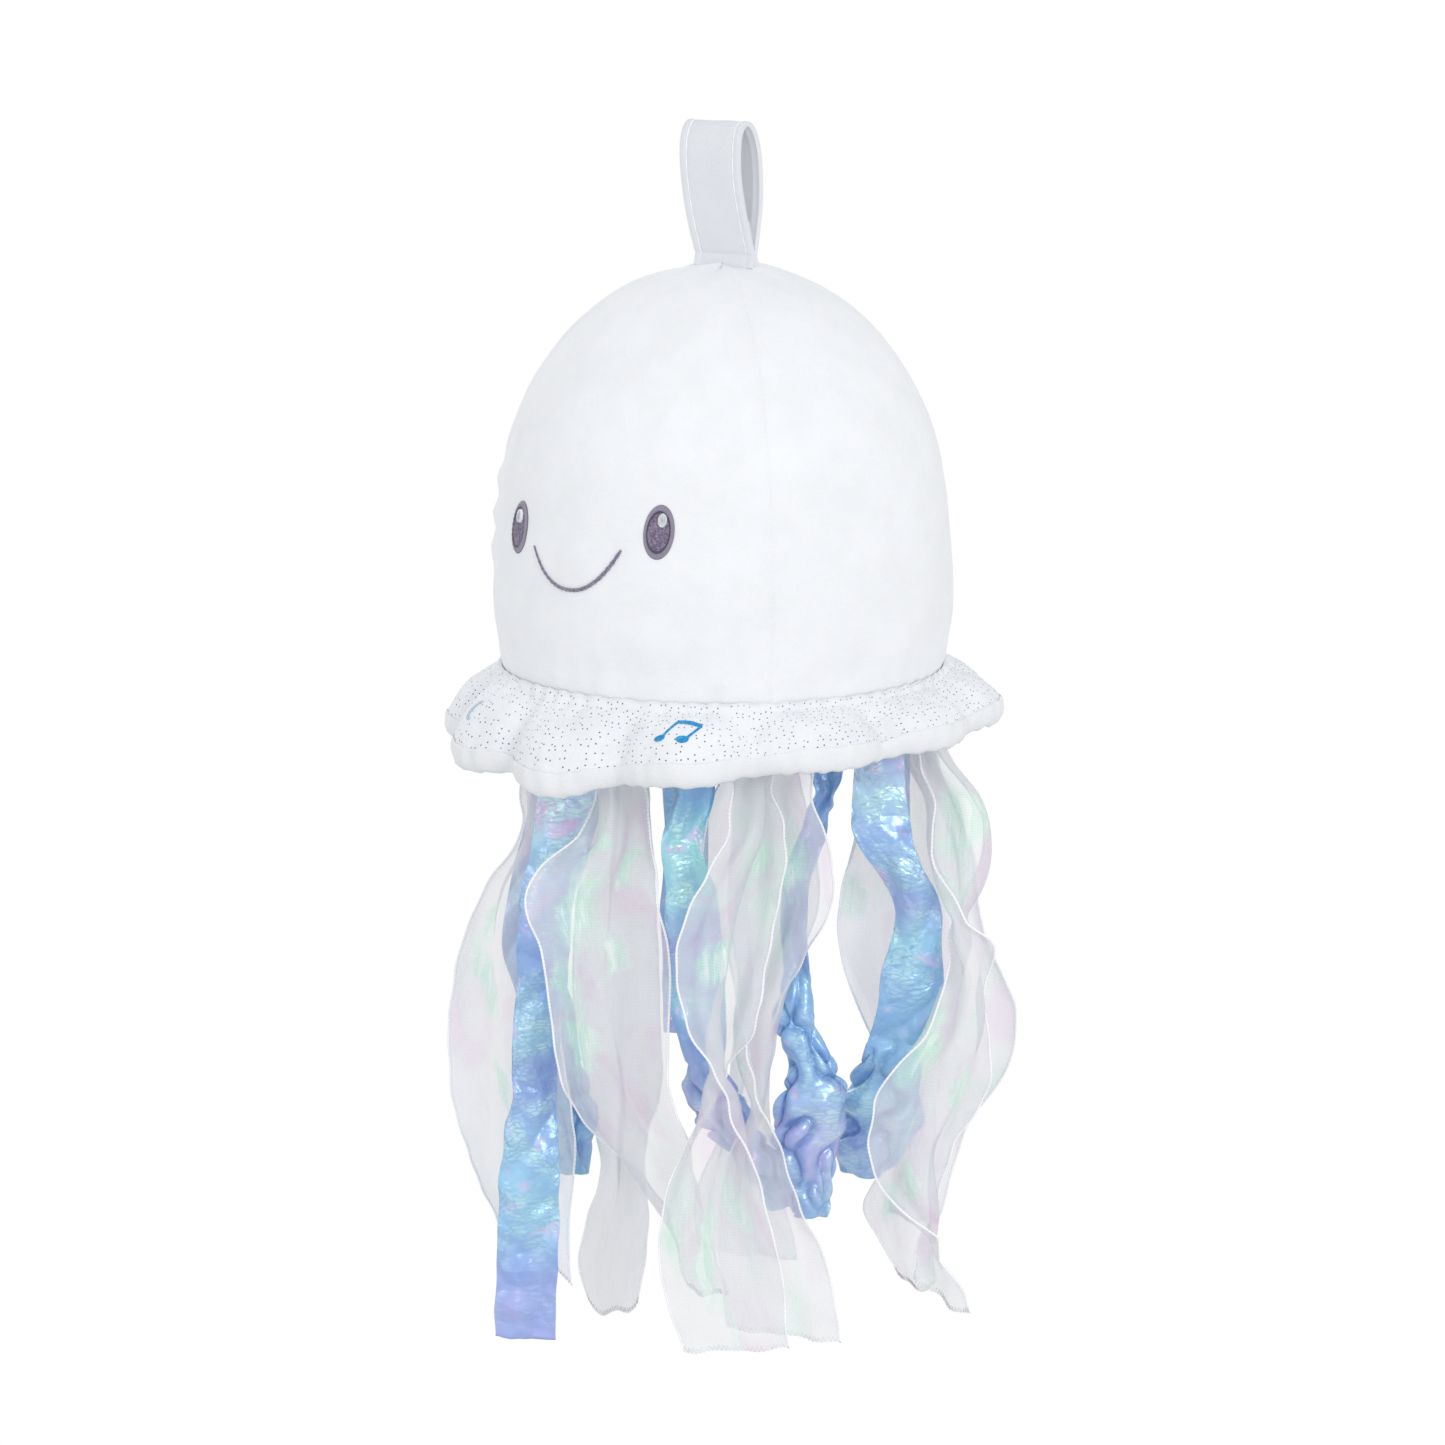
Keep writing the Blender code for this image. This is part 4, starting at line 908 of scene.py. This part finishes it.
def collar_ring(name, outline, material, node):
    """A ring from a closed outline of (share, depth in millimetres), with its UV in millimetres of cloth."""
    bm = turned([(1.0 + share, depth * MM) for share, depth in outline], COLLAR_COLUMNS, closed=True)
    uv = bm.loops.layers.uv.new("cloth")
    for face in bm.faces:
        first = azimuth_of(face.loops[0].vert.co)
        for loop in face.loops:
            co = loop.vert.co
            azimuth = azimuth_of(co)
            azimuth += tau * round((first - azimuth) / tau)
            loop[uv].uv = (azimuth * (SEAM_RADIUS + COLLAR_REACH * 0.6) / MM, (hypot(co.x, co.y) - 1.0) * 27)
    for vert in bm.verts:
        vert.co = collar_point(azimuth_of(vert.co), hypot(vert.co.x, vert.co.y) - 1.0, vert.co.z)
    piece = finish_piece(name, bm, material)
    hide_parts(node)
    return piece


def make_collar(glitter, plain):
    """The glitter cloth with its lip, and the plain plush that lines it and rolls up round its hem."""
    lip = [(-0.0001, 0.3), (-0.0001, -0.8), (-0.002, -1.8), (-0.012, -2.6), (-0.03, -2.7), (0.05, -1.2)]
    top = [(0.11 + 0.775 * i / 22, 0.0) for i in range(23)]
    back = [(0.86 * i / 6, 1.6) for i in range(6, -1, -1)]
    upper = collar_ring("glitter_collar", lip + top + [(0.893, 0.6)] + back, glitter, "collar_top")
    under = [(0.2 + 0.68 * i / 8, 2.2) for i in range(9)]
    hem = [(0.899, 1.2), (0.8985, 0.3), (0.888, -0.12), (0.868, -0.14), (0.866, -0.3), (0.875, -0.5),
           (0.9, -0.45), (0.92, -0.25), (0.95, 0.1), (0.99, 0.9), (1.025, 2.2), (1.03, 4.0), (1.01, 5.8),
           (0.95, 6.9)]
    low = [(0.9 - 0.1 * i, 7.0 - 0.45 * i) for i in range(8)]
    collar_ring("plush_collar_lining", under + hem + low, plain, "collar_lining")
    return upper


# Print on the collar

def make_print(collar, name, node, middle, strokes, material):
    """Painted strokes laid on the glitter cloth: each is a list of (x, y, half width)."""
    surface = surface_of(collar)
    bm = bmesh.new()
    radius = SEAM_RADIUS + COLLAR_REACH / 2
    slant = hypot(COLLAR_REACH, scallop_droop(middle))
    for stroke in strokes:
        count = len(stroke) - 1
        for vert in bmesh.ops.create_grid(bm, x_segments=count * 4, y_segments=5, size=0.5)["verts"]:
            along = (vert.co.x + 0.5) * count
            index = min(count - 1, int(along))
            share = along - index
            a, b = stroke[index], stroke[index + 1]
            run = Vector((b[0] - a[0], b[1] - a[1])).normalized()
            if 0 < index and share < 0.5:
                c = stroke[index - 1]
                back = Vector((a[0] - c[0], a[1] - c[1])).normalized()
                run = back.lerp(run, 0.5 + share).normalized()
            half = a[2] + (b[2] - a[2]) * share
            x = a[0] + (b[0] - a[0]) * share - run.y * half * vert.co.y * 2
            y = a[1] + (b[1] - a[1]) * share + run.x * half * vert.co.y * 2
            vert.co = Vector((x, y, 0)) * MM
    for vert in bm.verts:
        azimuth, share = middle + vert.co.x / radius, 0.5 - vert.co.y / slant
        above, below = (hang(collar_point(azimuth, share, depth * MM)) for depth in (-4, 3))
        out = (above - below).normalized()
        hit = surface.ray_cast(above, -out)[0]
        if hit is None:
            hit = hang(collar_point(azimuth, share))
        vert.co = unhang(hit + out * PRINT_LIFT)
    piece = finish_piece(name, bm, material, outward=False)
    thicken(piece, 0.25 * MM)
    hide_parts(node)


def make_prints(collar, blue, pale):
    def oval(x, y, a, b, lean):
        """A short fat stroke that makes a note's head."""
        points = []
        for i in range(13):
            t = -1 + 2 * i / 12
            points.append((x + a * t, y + lean * a * t, b * sqrt(max(0.0, 1 - t * t))))
        return points

    note = [
        [(-1.4, 4.6, 0.75), (3.0, 4.0, 0.95), (7.4, 2.6, 0.8)],
        [(-1.2, 4.3, 0.42), (-3.0, 1.2, 0.34), (-5.2, -2.4, 0.4)],
        [(7.2, 2.3, 0.42), (5.0, -0.4, 0.36), (2.6, -3.4, 0.42)],
        oval(-6.4, -2.9, 1.9, 1.15, 0.12),
        oval(1.4, -3.8, 2.1, 1.3, 0.16),
    ]
    note = [[(0.95 * x - 1.6, 0.95 * y + 1.0, half) for x, y, half in stroke] for stroke in note]
    make_print(collar, "painted_note", "music_note", tau / SCALLOPS, note, blue)
    moon = [[]]
    for i in range(17):
        angle = radians(65 + 230 * i / 16)
        moon[0].append((3.4 * cos(angle), 3.6 * sin(angle), 0.15 + 0.95 * sin(pi * i / 16)))
    make_print(collar, "painted_moon", "crescent_mark", -tau / SCALLOPS, moon, pale)


# Streamers

def view_point(across, near, height):
    x = across * cos(VIEW_TURN) + near * sin(VIEW_TURN)
    y = across * sin(VIEW_TURN) - near * cos(VIEW_TURN)
    return Vector((x, y, height))


def station_at(stations, drop):
    """Read every value of a route at one drop, on a smooth curve through its stations."""
    last = len(stations) - 2
    index = 0
    while index < last and stations[index + 1][0] < drop:
        index += 1
    before = stations[max(0, index - 1)]
    here, after = stations[index], stations[index + 1]
    beyond = stations[min(len(stations) - 1, index + 2)]
    length = after[0] - here[0]
    share = min(1.0, max(0.0, (drop - here[0]) / length))
    values = []
    for i in range(1, len(here)):
        into = (after[i] - before[i]) / (after[0] - before[0]) * length
        out = (beyond[i] - here[i]) / (beyond[0] - here[0]) * length
        cube, square = share**3, share**2
        value = (2 * cube - 3 * square + 1) * here[i] + (cube - 2 * square + share) * into
        values.append(value + (3 * square - 2 * cube) * after[i] + (cube - square) * out)
    return values


def read_route(angle, inset, stations, top_spread):
    """A route's rows in metres from its root down, and where it is rooted: across the view and nearer."""
    turn = -angle + 180 * round((stations[0][3] + angle) / 180)
    rows = [(GAP, 0.0, 0.0, radians(turn), top_spread)]
    for drop, side, near, turn, spread in stations:
        rows.append((drop * MM, side * MM, near * MM, radians(turn), spread))
    root = SEAM_RADIUS - inset * MM
    return rows, Vector((root * sin(radians(angle)), root * cos(radians(angle))))


def ribbon_axes(turn):
    """Along a streamer's width and out of its face, in the plane of across and nearer."""
    return Vector((cos(turn), sin(turn))), Vector((-sin(turn), cos(turn)))


def even(start, end, count):
    return [start + (end - start) * i / count for i in range(count + 1)]


def ribbon(columns, drops, cloth_point):
    """A grid with one row for each drop, its UV in millimetres of cloth, and what reads a vertex's drop."""
    bm = bmesh.new()
    last = len(drops) - 1
    bmesh.ops.create_grid(bm, x_segments=columns, y_segments=last, size=1.0)

    def drop_of(vert):
        return drops[round((vert.co.y + 1) / 2 * last)]

    uv = bm.loops.layers.uv.new("cloth")
    for face in bm.faces:
        for loop in face.loops:
            loop[uv].uv = cloth_point(loop.vert.co.x, drop_of(loop.vert) / MM)
    return bm, drop_of


def make_organza(index, route, cloth, thread):
    """One organza streamer: pleated where it is narrow, with wavy overlocked edges and hem."""
    rows, centre = read_route(*route, 0.42)
    start, end = rows[0][0], rows[-1][0]
    seed = index * 13.7
    slant, rounding, flat_end = (value * MM for value in ORGANZA_ENDS[index])

    def point(u, drop):
        side, near, turn, spread = station_at(rows, drop)
        half = ORGANZA_WIDTH * spread / 2
        facing = 1 if cos(turn) > 0 else -1
        slack = max(0.0, 1 / min(1.0, spread) - 1)
        depth = sqrt(4 * slack + 2.5 * slack**2) * half / (PLEATS * pi / 2) * (0.35 + 0.65 * abs(cos(turn)))
        lower = smooth_step(start, start + PLEATS_OPEN, drop)
        tail = smooth_step(end - flat_end, end - flat_end * 0.2, drop)
        phase = pi * PLEATS / 2 * u + seed + 1.5 * ripple(drop / 0.05, seed)
        fold = depth * lower * sin(phase) * (1 - 0.92 * tail)
        held = lower * (1 - abs(u) ** 6)
        lap = min(1.6, 1.4 * sqrt(slack)) * half / (pi * PLEATS) * held * sin(2 * phase) * (1 - 0.9 * tail)
        soft = 1.5 * MM * lower * ripple(u * 1.4 + seed, drop / 0.028, seed)
        frill = abs(u) ** 4 * lower
        curl = 0.55 * MM * sin(tau * drop / (15 * MM) + seed + u) + 1.2 * MM * ripple(drop / 0.021, u, seed)
        widening = frill * 0.7 * MM * ripple(drop / 0.015, seed + u * 5) * (1 if u > 0 else -1)
        hem = smooth_step(end - 10 * MM, end, drop) * 0.9 * MM * sin(u * half / MM * 0.5 + seed)
        along, out = ribbon_axes(turn)
        place = centre + Vector((side, near))
        place += along * (half * u - lap + widening) + out * (fold + soft + frill * curl + hem)
        fall = drop + tail * (slant * u * facing - rounding * u**4 + 0.5 * MM * sin(u * 6 + seed))
        return view_point(place.x, place.y, -fall)

    drops = even(start, end, ceil((end - start) / ORGANZA_ROW))
    bm, drop_of = ribbon(26, drops, lambda u, drop: (u * ORGANZA_WIDTH / 2 / MM, drop - start / MM))
    for vert in bm.verts:
        vert.co = point(vert.co.x, drop_of(vert))
    piece = finish_piece(f"organza_cloth_{index}", bm, cloth, outward=False)
    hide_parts(f"organza_streamer_{index}")

    inner = 1 - STITCH_RADIUS / (ORGANZA_WIDTH / 2)
    down = [(inner, drop) for drop in even(start, end, round((end - start) / STITCH_STEP))[:-1]]
    path = [(-u, drop) for u, drop in down]
    path += [(u, end - (HEM_HEIGHT if i % 2 else 0.0)) for i, u in enumerate(even(-1, 1, HEM_STITCHES))]
    path += reversed(down)
    points = [hang(point(u, drop)) for u, drop in path]
    radii = [STITCH_RADIUS * (0.55 if drop > end - 2 * MM else 0.8 + 0.3 * (i % 2))
             for i, (_, drop) in enumerate(path)]
    edge = tube_mesh(f"organza_edge_{index}", points, radii, thread)


def make_foil(index, route, cloth):
    """One foil streamer: a flattened tube of cloth, creased, and ruched where it is gathered."""
    angle, inset, gathers, stations = route
    rows, centre = read_route(angle, inset, stations, 0.8)
    start, end = rows[0][0], rows[-1][0]
    begin = gathers * MM if gathers else end + 1
    seed = index * 7.9

    def gather(u, w, drop, half):
        """Puffs outward and up with hollows between them, how deep in such a hollow the cloth lies, for the
        painted shade there, and how full the tube is, in its ruched end.
        """
        share = min(0.98, (drop - begin) / (end - begin))
        full = sqrt(sin(pi * share)) * min(1.0, half / (8 * MM))
        drift = Vector((u * 0.8 + seed, w * 0.8, drop / (15 * MM)))
        x, y, z = drift * 0.8
        drift += 0.6 * Vector((ripple(x + 31, y, z), ripple(x, y + 47, z), ripple(x, y, z + 59)))
        pillow = sqrt(crease(*drift))
        small = crease(u * 1.3 + seed, w * 1.3, drop / (12 * MM) + seed * 2)
        puffs = full * (PILLOW_HEIGHT * (pillow - 0.70) + 1.2 * MM * (small - 0.5))
        wobble = 2.0 * MM * full * ripple(u * 1.1, w * 1.1 + seed, drop / 0.012)
        return puffs, wobble, full * (1 - smooth_step(0.25, 0.75, pillow)), full

    def point(turned_by, drop):
        """A place on the tube, with how deep in a hollow the cloth lies, for its painted shade, and how far
        gathered it is there.
        """
        side, near, turn, spread = station_at(rows, drop)
        u, w = cos(turned_by), sin(turned_by)
        half = FOIL_WIDTH * spread / 2 * (1 + 0.09 * ripple(drop / 0.014, seed + 4))
        side += 1.2 * MM * ripple(drop / 0.019, seed + 8)
        bend = 1.5 * MM * ripple(u * 0.8 + seed, drop / 0.024, seed)
        bend += 3.0 * MM * (crease(u * 0.4 + seed, drop / 0.027 + u * 0.35, 5.0) - 0.4)
        bend += 0.9 * MM * (crease(u * 0.8 + seed * 2, drop / 0.012 - u * 0.6, 9.0) - 0.4)
        bend += 2.0 * MM * sqrt(max(0.0, 1 / spread - 1)) * sin(2.6 * u + seed)
        bend *= smooth_step(start, start + 12 * MM, drop)
        puffs, wobble, valley_shade, full = gather(u, w, drop, half) if drop > begin else (0.0, 0.0, 0.0, 0.0)
        thick = max(0.7 * MM, 6.0 * MM * full)
        bend *= 1 - min(1.0, full)
        along, out = ribbon_axes(turn)
        place = centre + Vector((side, near))
        place += along * (half * u + puffs * u) + out * (thick * w * (1 - 0.35 * u**4) + puffs * w + bend)
        tail = smooth_step(end - 12 * MM, end, drop) if gathers is None else 0.0
        return view_point(place.x, place.y, -drop - wobble - 0.9 * MM * u * tail), valley_shade, full

    flat_end = min(begin, end)
    drops = even(start, flat_end, ceil((flat_end - start) / FOIL_ROW))
    if gathers:
        drops += even(begin, end, ceil((end - begin) / GATHER_ROW))[1:]
    bm, drop_of = ribbon(64, drops, lambda u, drop: ((u + 1) * FOIL_WIDTH / MM, drop))
    # Per vertex: how deep in a hollow it lies, for the painted shade there, and how far gathered it is
    folds = bm.verts.layers.float_vector.new("folds")
    for vert in bm.verts:
        vert.co, valley_shade, gathered = point((vert.co.x + 1) * pi, drop_of(vert))
        vert[folds] = (valley_shade, gathered, 0.0)
    bmesh.ops.remove_doubles(bm, verts=bm.verts, dist=MERGE)
    bmesh.ops.holes_fill(bm, edges=[edge for edge in bm.edges if edge.is_boundary], sides=0)
    piece = finish_piece(f"foil_cloth_{index}", bm, cloth)
    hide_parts(f"foil_streamer_{index}")


# Stage

def split_rays(tree, output, lit, seen, kinds):
    """Give light with one shader, and look like the plain other one to rays of the kinds named."""
    rays = add_node(tree, "ShaderNodeLightPath").outputs
    share = 0.0
    for kind in kinds:
        values = {0: share, 1: rays[f"Is {kind} Ray"]}
        share = add_node(tree, "ShaderNodeMath", values, operation="MAXIMUM").outputs[0]
    blend = add_node(tree, "ShaderNodeMixShader", {0: share, 1: lit.outputs[0], 2: seen.outputs[0]})
    tree.links.new(blend.outputs[0], tree.nodes[output].inputs[0])


def make_stage():
    """A pale floor well below, a plain white surround and soft lamps."""
    floor = bmesh.new()
    bmesh.ops.create_grid(floor, x_segments=1, y_segments=1, size=6.0)
    mesh = bpy.data.meshes.new("floor")
    floor.to_mesh(mesh)
    floor.free()
    ground = bpy.data.objects.new("floor", mesh)
    ground.location = (0, 0, FLOOR_HEIGHT)
    bpy.context.collection.objects.link(ground)
    pale = Finish("pale_floor", 0.9, Base_Color=(0.9, 0.9, 0.9, 1))
    white = pale.add("ShaderNodeEmission")
    split_rays(pale.tree, "Material Output", pale.shader, white, ("Camera", "Transmission"))
    mesh.materials.append(pale.material)

    world = bpy.data.worlds.new("studio")
    bpy.context.scene.world = world
    world.use_nodes = True
    tree = world.node_tree
    surround = tree.nodes["Background"]
    surround.inputs["Color"].default_value = (0.95, 0.97, 1.0, 1)
    surround.inputs["Strength"].default_value = 0.78
    plain = add_node(tree, "ShaderNodeBackground", {"Color": (1, 1, 1, 1)})
    split_rays(tree, "World Output", surround, plain, ("Camera", "Transmission", "Glossy"))

    middle = Vector((0, 0, -0.2))
    for name, azimuth, height, distance, power in (
            ("key", 62, 0.5, 1.3, 4.6), ("fill", -25, 0.35, 1.4, 1.6), ("rim", 250, 0.5, 1.5, 2.5)):
        lamp = bpy.data.lights.new(name, "AREA")
        lamp.shape = "DISK"
        lamp.size = 0.5
        lamp.energy = power
        holder = bpy.data.objects.new(name, lamp)
        holder.location = middle + round_point(distance, radians(azimuth), height)
        holder.rotation_euler = (middle - holder.location).to_track_quat("-Z", "Y").to_euler()
        bpy.context.collection.objects.link(holder)


def make_camera():
    """The photograph's view, round from the face and a little down."""
    data = bpy.data.cameras.new("view")
    data.sensor_width = 36
    data.lens = FOCAL_LENGTH / PHOTO_WIDTH * data.sensor_width
    camera = bpy.data.objects.new("view", data)
    toward = round_point(cos(VIEW_PITCH), VIEW_TURN, sin(VIEW_PITCH))
    camera.location = hang(Vector((0, 0, VIEW_HEIGHT))) + toward * VIEW_DISTANCE
    camera.rotation_euler = (-toward).to_track_quat("-Z", "Y").to_euler()
    bpy.context.collection.objects.link(camera)
    bpy.context.scene.camera = camera


def dress_node(node, material):
    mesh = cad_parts[node].data
    mesh.materials.clear()
    mesh.materials.append(material)


bpy.context.scene.view_settings.view_transform = "Standard"
make_camera()
make_stage()

overlock = overlock_material()
dark_thread = thread_material("dark_embroidery", shade("625c6e"), shade("9c96ab"))
white_thread = thread_material("white_embroidery", shade("eef1fb"), shade("ffffff"))
dress_node("base_panel", plush_material("base_plush_cloth", (0.92, 0.925, 0.94)))
dress_node("sound_unit", plastic_material())
head = make_head(plush_material("white_plush_cloth", (0.95, 0.955, 0.97)))
make_face(head, eye_material(), dark_thread, white_thread)
make_loop(band_material(), overlock)
collar = make_collar(glitter_material(), plush_material("plain_plush_cloth", (0.93, 0.935, 0.95), 0.5))
make_prints(collar, print_material("blue_paint", shade("0f86c6"), shade("3fb2e4")),
            print_material("pale_paint", shade("b4c6dc"), shade("d2deea")))
for number, route in enumerate(ORGANZA_ROUTES, 1):
    make_organza(number, route, organza_material(number), overlock)
for number, route in enumerate(FOIL_ROUTES, 1):
    make_foil(number, route, foil_material(number))
